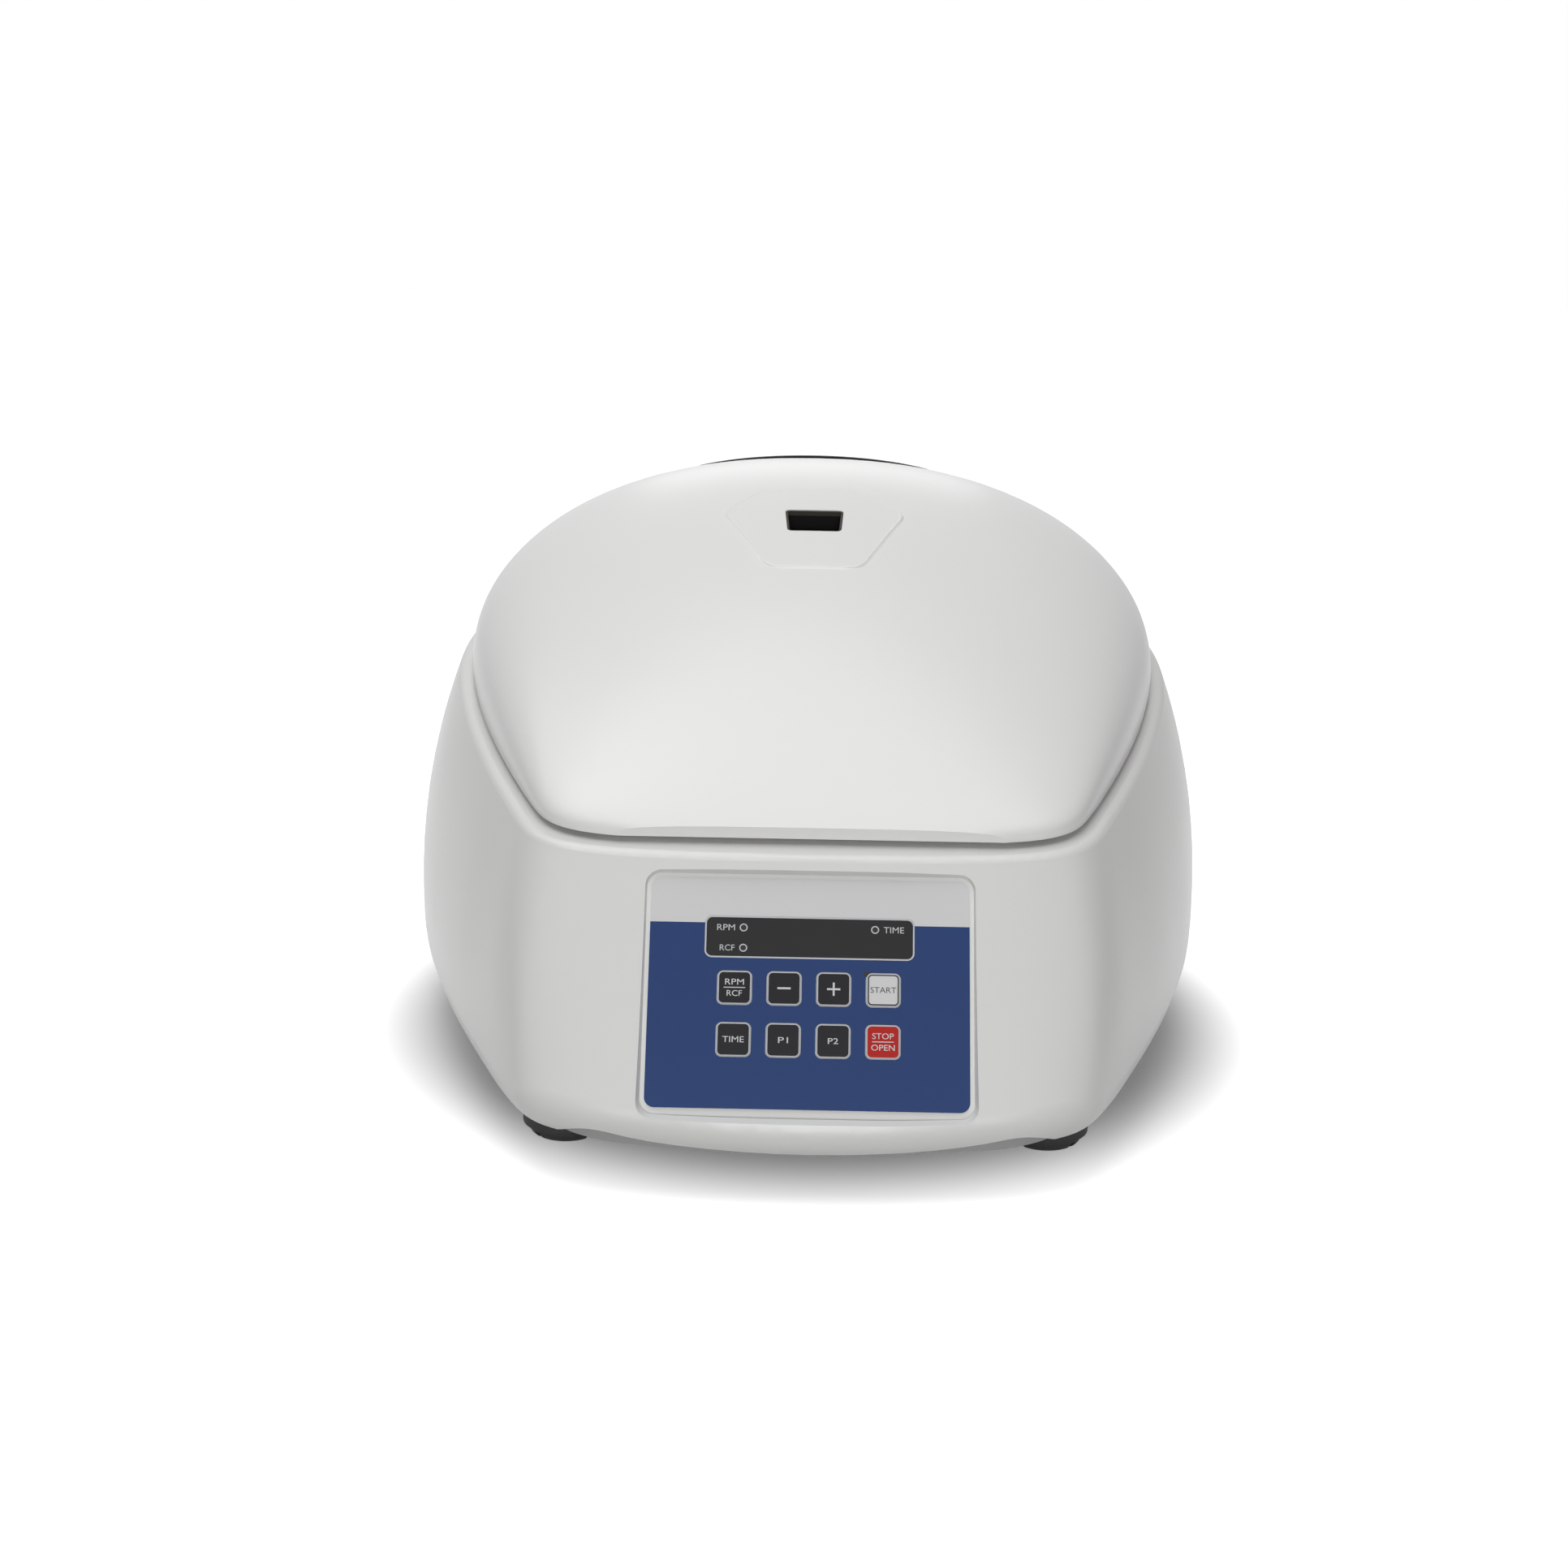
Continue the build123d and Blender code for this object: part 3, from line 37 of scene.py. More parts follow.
# Places that repeat the solids' own values
PANEL_Y = -156.1
PANEL_Z = 62.9
PANEL_TILT = radians(29.2)
RIM_TILT = radians(10.0)
DECK_HEIGHT = 127.3
ROTOR_Y = 33.0
KEYPAD_FACE = 0.6
KEY_FACE = 0.9
KEY_PITCH = 16.0
KEY_ROWS = (1.3, -15.5)
KEYPAD_TOP = 37.6
DISPLAY_WIDTH = 68.0
DISPLAY_HEIGHT = 13.8
DISPLAY_UP = 18.0
DISPLAY_ROUND = 2.4
STRIP_HEIGHT = 15.0        # white strip across the top of the keypad
INK = 0.03                 # thickness of printed legends

panel = Matrix(((1, 0, 0, 0),
                (0, sin(PANEL_TILT), -cos(PANEL_TILT), PANEL_Y * MM),
                (0, cos(PANEL_TILT), sin(PANEL_TILT), PANEL_Z * MM),
                (0, 0, 0, 1)))
deck = Matrix(((1, 0, 0, 0),
               (0, cos(RIM_TILT), -sin(RIM_TILT), 0),
               (0, sin(RIM_TILT), cos(RIM_TILT), DECK_HEIGHT * MM),
               (0, 0, 0, 1)))


# Camera at the photograph's viewing angle
CAMERA_LENS = 49.6
CAMERA_SENSOR = 36.0
CAMERA_NEAR = 0.01
CAMERA_PLACE = (-0.0057, -0.8178, 0.291)
CAMERA_HEADING = radians(0.3)
CAMERA_PITCH = radians(90 - 13.5)
CAMERA_ROLL = radians(1.0)


def make_camera():
    data = bpy.data.cameras.new("camera")
    data.lens = CAMERA_LENS
    data.sensor_width = CAMERA_SENSOR
    data.clip_start = CAMERA_NEAR
    camera = bpy.data.objects.new("camera", data)
    bpy.context.collection.objects.link(camera)
    turn = Matrix.Rotation(CAMERA_HEADING, 4, 'Z') @ Matrix.Rotation(CAMERA_PITCH, 4, 'X')
    turn = turn @ Matrix.Rotation(CAMERA_ROLL, 4, 'Z')
    camera.matrix_world = Matrix.Translation(CAMERA_PLACE) @ turn
    bpy.context.scene.camera = camera


# Soft studio light: name, place, aim, size and power of each lamp
LAMPS = (("overhead_softbox", (-0.12, -0.1, 1.4), (0, 0, 0.1), (1.2, 1.2), 10.5),
         ("front_softbox", (0, -1.9, 0.45), (0, 0, 0.12), (0.8, 0.6), 16.5),
         ("back_softbox", (0, 1.9, 1.0), (0, 0, 0.12), (0.9, 0.6), 1.8),
         ("left_strip", (-0.7, 0.4, 1.5), (0, 0, 0.15), (0.4, 1.2), 3.0))
WORLD_FILL = 0.06
WORLD_SEEN = 1.0


def make_area_light(name, place, aim, size, power):
    data = bpy.data.lights.new(name, 'AREA')
    data.shape = 'RECTANGLE'
    data.size, data.size_y = size
    data.energy = power
    light = bpy.data.objects.new(name, data)
    bpy.context.collection.objects.link(light)
    direction = Vector(aim) - Vector(place)
    light.matrix_world = Matrix.Translation(place) @ direction.to_track_quat('-Z', 'Y').to_matrix().to_4x4()


def is_seen_ray(nodes, links):
    """1 for camera, mirror and glass rays, so that these meet the white background."""
    path = nodes.new('ShaderNodeLightPath')
    first = nodes.new('ShaderNodeMath')
    first.operation = 'MAXIMUM'
    links.new(path.outputs['Is Camera Ray'], first.inputs[0])
    links.new(path.outputs['Is Glossy Ray'], first.inputs[1])
    second = nodes.new('ShaderNodeMath')
    second.operation = 'MAXIMUM'
    links.new(first.outputs[0], second.inputs[0])
    links.new(path.outputs['Is Transmission Ray'], second.inputs[1])
    return second.outputs[0]


def make_world():
    world = bpy.data.worlds.new("studio")
    bpy.context.scene.world = world
    world.use_nodes = True
    bpy.context.scene.view_settings.view_transform = 'Standard'
    nodes, links = world.node_tree.nodes, world.node_tree.links
    background = nodes['Background']
    background.inputs['Color'].default_value = (1, 1, 1, 1)
    strength = nodes.new('ShaderNodeMapRange')
    strength.inputs['To Min'].default_value = WORLD_FILL
    strength.inputs['To Max'].default_value = WORLD_SEEN
    links.new(is_seen_ray(nodes, links), strength.inputs['Value'])
    links.new(strength.outputs['Result'], background.inputs['Strength'])


# Materials
NOISE_LOW = 0.1            # least and greatest noise value that the gloss follows
NOISE_HIGH = 0.9
CLOUD_DETAIL = 5.0
GRAIN_DETAIL = 2.0
LINE_DETAIL = 6.0
LINE_ROUGHNESS = 0.7
LINE_STRETCH = 0.03        # share of the pattern's size left along the lines
STAIN_SIZE = 35.0
STAIN_DETAIL = 4.0


def new_material(name):
    material = bpy.data.materials.new(name)
    material.use_nodes = True
    return material, material.node_tree.nodes, material.node_tree.links


def new_group(name, inputs, outputs):
    """Node group with float or colour inputs; returns it with its input and output nodes."""
    tree = bpy.data.node_groups.new(name, 'ShaderNodeTree')
    for label, value in inputs:
        kind = 'NodeSocketColor' if isinstance(value, tuple) else 'NodeSocketFloat'
        socket = tree.interface.new_socket(label, in_out='INPUT', socket_type=kind)
        socket.default_value = value
    for label, kind in outputs:
        tree.interface.new_socket(label, in_out='OUTPUT', socket_type=kind)
    return tree, tree.nodes.new('NodeGroupInput'), tree.nodes.new('NodeGroupOutput')


def make_moulded_skin():
    """Fine moulded surface: faint clouding of the colour, changing gloss and a shallow grain."""
    tree, given, result = new_group(
        "moulded_skin",
        [("Colour", (0.8, 0.8, 0.8, 1)), ("Clouding", 0.02), ("Cloud size", 18.0), ("Gloss low", 0.3),
         ("Gloss high", 0.4), ("Grain size", 2500.0), ("Grain depth", 0.00002)],
        [("Colour", 'NodeSocketColor'), ("Roughness", 'NodeSocketFloat'), ("Normal", 'NodeSocketVector')])
    nodes, links = tree.nodes, tree.links
    place = nodes.new('ShaderNodeTexCoord')
    clouds = nodes.new('ShaderNodeTexNoise')
    clouds.inputs['Detail'].default_value = CLOUD_DETAIL
    links.new(place.outputs['Object'], clouds.inputs['Vector'])
    links.new(given.outputs['Cloud size'], clouds.inputs['Scale'])
    shade = nodes.new('ShaderNodeMath')
    shade.operation = 'MULTIPLY_ADD'
    shade.inputs[2].default_value = 1.0
    centred = nodes.new('ShaderNodeMath')
    centred.operation = 'SUBTRACT'
    centred.inputs[1].default_value = 0.5
    links.new(clouds.outputs['Fac'], centred.inputs[0])
    links.new(centred.outputs[0], shade.inputs[0])
    links.new(given.outputs['Clouding'], shade.inputs[1])
    tinted = nodes.new('ShaderNodeVectorMath')
    tinted.operation = 'SCALE'
    links.new(given.outputs['Colour'], tinted.inputs[0])
    links.new(shade.outputs[0], tinted.inputs['Scale'])
    links.new(tinted.outputs[0], result.inputs['Colour'])
    gloss = nodes.new('ShaderNodeMapRange')
    gloss.inputs['From Min'].default_value = NOISE_LOW
    gloss.inputs['From Max'].default_value = NOISE_HIGH
    links.new(clouds.outputs['Fac'], gloss.inputs['Value'])
    links.new(given.outputs['Gloss low'], gloss.inputs['To Min'])
    links.new(given.outputs['Gloss high'], gloss.inputs['To Max'])
    links.new(gloss.outputs['Result'], result.inputs['Roughness'])
    grain = nodes.new('ShaderNodeTexNoise')
    grain.inputs['Detail'].default_value = GRAIN_DETAIL
    links.new(place.outputs['Object'], grain.inputs['Vector'])
    links.new(given.outputs['Grain size'], grain.inputs['Scale'])
    bump = nodes.new('ShaderNodeBump')
    bump.inputs['Strength'].default_value = 1.0
    links.new(grain.outputs['Fac'], bump.inputs['Height'])
    links.new(given.outputs['Grain depth'], bump.inputs['Distance'])
    links.new(bump.outputs['Normal'], result.inputs['Normal'])
    return tree


def make_worked_metal():
    """Turned or drawn metal: fine lines round the rotor axis or along X, faint stains."""
    tree, given, result = new_group(
        "worked_metal",
        [("Colour", (0.6, 0.6, 0.6, 1)), ("Line size", 900.0), ("Turned", 1.0), ("Gloss low", 0.2),
         ("Gloss high", 0.35), ("Line depth", 0.00001), ("Stain", 0.06)],
        [("Colour", 'NodeSocketColor'), ("Roughness", 'NodeSocketFloat'), ("Normal", 'NodeSocketVector')])
    nodes, links = tree.nodes, tree.links
    place = nodes.new('ShaderNodeTexCoord')
    centre = nodes.new('ShaderNodeMapping')
    centre.inputs['Location'].default_value = (0, -ROTOR_Y * MM, 0)
    links.new(place.outputs['Object'], centre.inputs['Vector'])
    parts = nodes.new('ShaderNodeSeparateXYZ')
    links.new(centre.outputs['Vector'], parts.inputs[0])
    flat = nodes.new('ShaderNodeCombineXYZ')
    links.new(parts.outputs['X'], flat.inputs['X'])
    links.new(parts.outputs['Y'], flat.inputs['Y'])
    radius = nodes.new('ShaderNodeVectorMath')
    radius.operation = 'LENGTH'
    links.new(flat.outputs[0], radius.inputs[0])
    rings = nodes.new('ShaderNodeCombineXYZ')
    links.new(radius.outputs['Value'], rings.inputs['X'])
    links.new(parts.outputs['Z'], rings.inputs['Z'])
    straight = nodes.new('ShaderNodeMapping')
    straight.inputs['Scale'].default_value = (LINE_STRETCH, 1, 1)
    links.new(place.outputs['Object'], straight.inputs['Vector'])
    chosen = nodes.new('ShaderNodeMix')
    chosen.data_type = 'VECTOR'
    links.new(given.outputs['Turned'], chosen.inputs['Factor'])
    links.new(straight.outputs['Vector'], chosen.inputs[4])
    links.new(rings.outputs[0], chosen.inputs[5])
    lines = nodes.new('ShaderNodeTexNoise')
    lines.inputs['Detail'].default_value = LINE_DETAIL
    lines.inputs['Roughness'].default_value = LINE_ROUGHNESS
    links.new(chosen.outputs[1], lines.inputs['Vector'])
    links.new(given.outputs['Line size'], lines.inputs['Scale'])
    gloss = nodes.new('ShaderNodeMapRange')
    gloss.inputs['From Min'].default_value = NOISE_LOW
    gloss.inputs['From Max'].default_value = NOISE_HIGH
    links.new(lines.outputs['Fac'], gloss.inputs['Value'])
    links.new(given.outputs['Gloss low'], gloss.inputs['To Min'])
    links.new(given.outputs['Gloss high'], gloss.inputs['To Max'])
    links.new(gloss.outputs['Result'], result.inputs['Roughness'])
    stains = nodes.new('ShaderNodeTexNoise')
    stains.inputs['Scale'].default_value = STAIN_SIZE
    stains.inputs['Detail'].default_value = STAIN_DETAIL
    links.new(place.outputs['Object'], stains.inputs['Vector'])
    darker = nodes.new('ShaderNodeMath')
    darker.operation = 'MULTIPLY'
    links.new(stains.outputs['Fac'], darker.inputs[0])
    links.new(given.outputs['Stain'], darker.inputs[1])
    kept = nodes.new('ShaderNodeMath')
    kept.operation = 'SUBTRACT'
    kept.inputs[0].default_value = 1.0
    links.new(darker.outputs[0], kept.inputs[1])
    tinted = nodes.new('ShaderNodeVectorMath')
    tinted.operation = 'SCALE'
    links.new(given.outputs['Colour'], tinted.inputs[0])
    links.new(kept.outputs[0], tinted.inputs['Scale'])
    links.new(tinted.outputs[0], result.inputs['Colour'])
    bump = nodes.new('ShaderNodeBump')
    links.new(lines.outputs['Fac'], bump.inputs['Height'])
    links.new(given.outputs['Line depth'], bump.inputs['Distance'])
    links.new(bump.outputs['Normal'], result.inputs['Normal'])
    return tree


def surface(name, tree, values, metallic=0.0, coat=0.0, **shader_values):
    """Material whose colour, roughness and normal come from one of the groups."""
    material, nodes, links = new_material(name)
    shader = nodes['Principled BSDF']
    effect = nodes.new('ShaderNodeGroup')
    effect.node_tree = tree
    for label, value in values.items():
        effect.inputs[label].default_value = value
    links.new(effect.outputs['Colour'], shader.inputs['Base Color'])
    links.new(effect.outputs['Roughness'], shader.inputs['Roughness'])
    links.new(effect.outputs['Normal'], shader.inputs['Normal'])
    shader.inputs['Metallic'].default_value = metallic
    shader.inputs['Coat Weight'].default_value = coat
    for label, value in shader_values.items():
        shader.inputs[label.replace('_', ' ')].default_value = value
    return material


def plastic(name, colour, gloss=(0.3, 0.4), clouding=0.03, grain=0.00002, grain_size=2500.0, **extra):
    return surface(name, moulded_skin, {
        "Colour": (*colour, 1), "Clouding": clouding, "Gloss low": gloss[0], "Gloss high": gloss[1],
        "Grain depth": grain, "Grain size": grain_size}, **extra)


def metal(name, colour, gloss=(0.2, 0.35), turned=1.0, lines=900.0, depth=0.00001, **extra):
    return surface(name, worked_metal, {
        "Colour": (*colour, 1), "Line size": lines, "Turned": turned, "Gloss low": gloss[0],
        "Gloss high": gloss[1], "Line depth": depth}, metallic=1.0, **extra)


FILM_BLUE = (0.016, 0.044, 0.150)
FILM_WHITE = (0.66, 0.66, 0.66, 1)


def make_keypad_film():
    """Printed film: a white strip above a blue field, split at a height along the panel."""
    material = plastic("keypad_film", FILM_BLUE, gloss=(0.42, 0.5), clouding=0.05,
                       grain=0.00003, grain_size=4000.0, Specular_IOR_Level=0.2)
    nodes, links = material.node_tree.nodes, material.node_tree.links
    shader = nodes['Principled BSDF']
    effect = next(node for node in nodes if node.type == 'GROUP')
    place = nodes.new('ShaderNodeTexCoord')
    along = nodes.new('ShaderNodeMapping')
    along.vector_type = 'TEXTURE'
    along.inputs['Location'].default_value = (0, PANEL_Y * MM, PANEL_Z * MM)
    along.inputs['Rotation'].default_value = (pi / 2 - PANEL_TILT, 0, 0)
    links.new(place.outputs['Object'], along.inputs['Vector'])
    parts = nodes.new('ShaderNodeSeparateXYZ')
    links.new(along.outputs['Vector'], parts.inputs[0])
    above = nodes.new('ShaderNodeMath')
    above.operation = 'GREATER_THAN'
    above.inputs[1].default_value = (KEYPAD_TOP - STRIP_HEIGHT) * MM
    links.new(parts.outputs['Y'], above.inputs[0])
    mixed = nodes.new('ShaderNodeMix')
    mixed.data_type = 'RGBA'
    mixed.inputs[7].default_value = FILM_WHITE
    links.new(above.outputs[0], mixed.inputs['Factor'])
    links.new(effect.outputs['Colour'], mixed.inputs[6])
    links.new(mixed.outputs[2], shader.inputs['Base Color'])
    return material


FLOOR_ROUGHNESS = 0.7
FLOOR_SPECULAR = 0.1
FLOOR_THROWN = (0.22, 0.22, 0.22, 1)    # colour for the light that the floor throws back
FLOOR_SEEN = (0.85, 0.85, 0.85, 1)
FLOOR_FADE = (0.135, 0.205)             # distances from the middle between which the floor goes white
FLOOR_GLOW = (0.08, 1.0)


def make_floor_material():
    """Pale floor that goes white for the camera outside the object's shadow."""
    material, nodes, links = new_material("floor")
    shader = nodes['Principled BSDF']
    shader.inputs['Roughness'].default_value = FLOOR_ROUGHNESS
    shader.inputs['Specular IOR Level'].default_value = FLOOR_SPECULAR
    shader.inputs['Emission Color'].default_value = (1, 1, 1, 1)
    seen = is_seen_ray(nodes, links)
    colour = nodes.new('ShaderNodeMix')
    colour.data_type = 'RGBA'
    colour.inputs[6].default_value = FLOOR_THROWN
    colour.inputs[7].default_value = FLOOR_SEEN
    links.new(seen, colour.inputs['Factor'])
    links.new(colour.outputs[2], shader.inputs['Base Color'])
    place = nodes.new('ShaderNodeTexCoord')
    distance = nodes.new('ShaderNodeVectorMath')
    distance.operation = 'LENGTH'
    links.new(place.outputs['Object'], distance.inputs[0])
    fade = nodes.new('ShaderNodeMapRange')
    fade.interpolation_type = 'SMOOTHSTEP'
    fade.inputs['From Min'].default_value, fade.inputs['From Max'].default_value = FLOOR_FADE
    fade.inputs['To Min'].default_value, fade.inputs['To Max'].default_value = FLOOR_GLOW
    links.new(distance.outputs['Value'], fade.inputs['Value'])
    strength = nodes.new('ShaderNodeMath')
    strength.operation = 'MULTIPLY'
    links.new(seen, strength.inputs[0])
    links.new(fade.outputs['Result'], strength.inputs[1])
    links.new(strength.outputs[0], shader.inputs['Emission Strength'])
    return material


# Mesh pieces
CORNER_SEGMENTS = 8
EDGE_SEGMENTS = 3
ROUND_SEGMENTS = 40
TOP_SHARE = 0.9            # vertices above this share of a plate's thickness are its top


def add_piece(name, mesh_maker, place, material, body):
    """Builds a piece with a bmesh function, puts its mesh in place and lets it ride on a body."""
    mesh = bpy.data.meshes.new(name)
    bm = bmesh.new()
    mesh_maker(bm)
    bmesh.ops.transform(bm, matrix=place, verts=bm.verts)
    bm.to_mesh(mesh)
    bm.free()
    return place_mesh(name, mesh, material, body)


def place_mesh(name, mesh, material, body):
    mesh.materials.clear()
    mesh.materials.append(material)
    piece = bpy.data.objects.new(name, mesh)
    bpy.context.collection.objects.link(piece)
    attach(piece, body)
    return piece


def raised(bm, height):
    """Gives the flat faces of a bmesh a thickness, upwards from Z = 0."""
    made = bmesh.ops.extrude_face_region(bm, geom=bm.faces[:])
    top = [item for item in made['geom'] if isinstance(item, bmesh.types.BMVert)]
    bmesh.ops.translate(bm, vec=(0, 0, height * MM), verts=top)
    bmesh.ops.recalc_face_normals(bm, faces=bm.faces[:])


def rounded_face(bm, width, height, radius):
    bmesh.ops.create_grid(bm, x_segments=1, y_segments=1, size=0.5)
    bmesh.ops.scale(bm, vec=(width * MM, height * MM, 1), verts=bm.verts)
    bmesh.ops.bevel(bm, geom=bm.verts[:], offset=radius * MM, offset_type='OFFSET', affect='VERTICES',
                    segments=CORNER_SEGMENTS, profile=0.5, material=-1)


def plate(width, height, radius, thickness, edge=0.0):
    """Rounded plate whose upper edge may be bevelled."""
    def make(bm):
        rounded_face(bm, width, height, radius)
        raised(bm, thickness)
        if edge:
            level = thickness * MM * TOP_SHARE
            rim = [item for item in bm.edges if all(v.co.z > level for v in item.verts)
                   and len(item.link_faces) == 2 and any(face.normal.z < 0.5 for face in item.link_faces)]
            bmesh.ops.bevel(bm, geom=rim, offset=edge * MM, offset_type='OFFSET', affect='EDGES',
                            segments=EDGE_SEGMENTS, profile=0.5, material=-1)
    return make


def make_hollow(bm, stroke):
    """Turns the one flat face of a bmesh into a ring of the given width along its outline."""
    bmesh.ops.inset_region(bm, faces=bm.faces[:], thickness=stroke * MM, use_even_offset=True,
                           use_boundary=True)
    middle = max(bm.faces, key=lambda face: len(face.verts))
    bmesh.ops.delete(bm, geom=[middle], context='FACES_ONLY')


def frame_ring(width, height, radius, stroke, thickness):
    """Flat ring with a rounded rectangular outline."""
    def make(bm):
        rounded_face(bm, width, height, radius)
        make_hollow(bm, stroke)
        raised(bm, thickness)
    return make


def round_ring(radius, stroke, thickness):
    def make(bm):
        bmesh.ops.create_circle(bm, cap_ends=True, segments=ROUND_SEGMENTS, radius=radius * MM)
        make_hollow(bm, stroke)
        raised(bm, thickness)
    return make


def disc(radius, thickness):
    def make(bm):
        bmesh.ops.create_circle(bm, cap_ends=True, segments=ROUND_SEGMENTS, radius=radius * MM)
        raised(bm, thickness)
    return make


def at(base, x, y, z=0.0):
    return base @ Matrix.Translation((x * MM, y * MM, z * MM))


def add_legend(name, text, width, height, place, material, body, slot):
    """Printed word, scaled to its width and capital height, centred on its place."""
    curve = bpy.data.curves.new(name, 'FONT')
    curve.body = text
    curve.size = 1.0
    curve.extrude = 0.5
    curve.resolution_u = 4
    source = bpy.data.objects.new(name + "_curve", curve)
    mesh = bpy.data.meshes.new_from_object(source)
    bpy.data.objects.remove(source)
    xs = [v.co.x for v in mesh.vertices]
    ys = [v.co.y for v in mesh.vertices]
    middle = Vector(((min(xs) + max(xs)) / 2, (min(ys) + max(ys)) / 2, -0.5))
    size = (width * MM / (max(xs) - min(xs)), height * MM / (max(ys) - min(ys)), INK * MM)
    mesh.transform(place @ Matrix.Diagonal((*size, 1)) @ Matrix.Translation(-middle))
    return place_mesh(name, mesh, material, body)


BAR_ROUND = 0.1            # corner radius of a printed bar, as a share of its width


def bar(width, height):
    return plate(width, height, min(width, height) * BAR_ROUND, INK)


# Keypad: column and row of each key, then the sizes of its face and its printed marks
KEYS = {
    "rpm_rcf": (-1.5, 0), "minus": (-0.5, 0), "plus": (0.5, 0), "start": (1.5, 0),
    "time": (-1.5, 1), "p1": (-0.5, 1), "p2": (0.5, 1), "stop_open": (1.5, 1)}
KEY_SLOTS = {"start": "white_key", "stop_open": "red_key"}
KEY_WIDTH = 10.0
KEY_ROUND = 1.35
FACE_THICKNESS = 0.10
FACE_EDGE = 0.06
START_WIDTH = 9.2
START_ROUND = 1.0
START_THICKNESS = 0.06
START_EDGE = 0.03
WORD_HEIGHT = 1.9
WORD_SHIFT = 1.85
DIVIDER = (7.0, 0.28)
SIGN_BAR = (4.3, 0.62)
CROSSING = 0.004           # lifts the plus sign's upright over its bar
DOUBLE_WORDS = {"rpm_rcf": (("RPM", 6.1), ("RCF", 4.9)), "stop_open": (("STOP", 6.9), ("OPEN", 7.5))}
WORD_WIDTHS = {"start": 8.3, "time": 6.9, "p1": 3.2, "p2": 3.3}


def dress_key(key):
    column, row = KEYS[key]
    body = f"key_{key}_body"
    centre = at(panel, column * KEY_PITCH, KEY_ROWS[row], KEY_FACE)
    slot = KEY_SLOTS.get(key, "black_key")
    face = red_print if key == "stop_open" else black_print
    add_piece(f"{key}_face", plate(KEY_WIDTH, KEY_WIDTH, KEY_ROUND, FACE_THICKNESS, FACE_EDGE),
              centre, face, body)
    top = at(centre, 0, 0, FACE_THICKNESS)
    ink, lift = white_ink, top
    if key == "start":
        light = plate(START_WIDTH, START_WIDTH, START_ROUND, START_THICKNESS, START_EDGE)
        add_piece("start_light_face", light, top, white_print, body)
        ink, lift = black_ink, at(top, 0, 0, START_THICKNESS)
    if key in DOUBLE_WORDS:
        (upper, upper_width), (lower, lower_width) = DOUBLE_WORDS[key]
        add_legend(f"{key}_upper_word", upper, upper_width, WORD_HEIGHT, at(lift, 0, WORD_SHIFT),
                   ink, body, slot)
        add_legend(f"{key}_lower_word", lower, lower_width, WORD_HEIGHT, at(lift, 0, -WORD_SHIFT),
                   ink, body, slot)
        add_piece(f"{key}_divider", bar(*DIVIDER), lift, ink, body)
    elif key in ("minus", "plus"):
        add_piece(f"{key}_bar", bar(*SIGN_BAR), lift, ink, body)
        if key == "plus":
            add_piece("plus_upright", bar(*reversed(SIGN_BAR)), at(lift, 0, 0, CROSSING), ink, body)
    else:
        add_legend(f"{key}_word", key.upper(), WORD_WIDTHS[key], WORD_HEIGHT, lift, ink, body, slot)


# Display: each lamp's name, place, side of its label and the label's width
DISPLAY_LAMPS = (("rpm", -21.5, 21.1, -1, 5.8), ("rcf", -21.5, 14.4, -1, 4.8), ("time", 21.2, 21.1, 1, 6.6))
START_LAMP = (18.5, 6.5)
OUTLINE_STROKE = 0.5
LAMP_RING = (1.3, 0.36)
LAMP_RADIUS = 0.9
LAMP_THICKNESS = 0.02
START_LAMP_RADIUS = 0.92
START_LAMP_THICKNESS = 0.05
LABEL_GAP = 2.8
LABEL_HEIGHT = 2.0


def dress_display():
    window = at(panel, 0, DISPLAY_UP, KEYPAD_FACE)
    outline = frame_ring(DISPLAY_WIDTH, DISPLAY_HEIGHT, DISPLAY_ROUND, OUTLINE_STROKE, INK)
    add_piece("display_outline", outline, window, ring_print, "base")
    for name, x, y, side, width in DISPLAY_LAMPS:
        lamp = at(panel, x, y, KEYPAD_FACE)
        ring = round_ring(*LAMP_RING, INK)
        add_piece(f"{name}_lamp_outline", ring, lamp, ring_print, "base")
        lens = disc(LAMP_RADIUS, LAMP_THICKNESS)
        add_piece(f"{name}_lamp", lens, lamp, lamp_lens, "base")
        place = at(lamp, side * (LABEL_GAP + width / 2), 0)
        add_legend(f"{name}_label", name.upper(), width, LABEL_HEIGHT, place, ring_print, "base",
                   "keypad_film")
    lens = disc(START_LAMP_RADIUS, START_LAMP_THICKNESS)
    place = at(panel, *START_LAMP, KEYPAD_FACE)
    add_piece("start_lamp", lens, place, lamp_lens, "base")


# Lining of the port, from the window up to the sloping pad, with a smoked lip at its top
PORT_CORNERS = ((10.5, 32.5), (11.6, 50.7))
PORT_HEIGHTS = (58.5, 61.6)    # top of the lining at the front and at the back
PORT_FLOOR = 54.1
PORT_LIP = 1.7
PORT_LAP = 0.1                 # the lining goes this far behind the lip
PORT_GAP = 0.15
PORT_ROUND = 1.8
PORT_SEGMENTS = 6
LINING_STROKE = 0.35
LIP_STROKE = 0.8


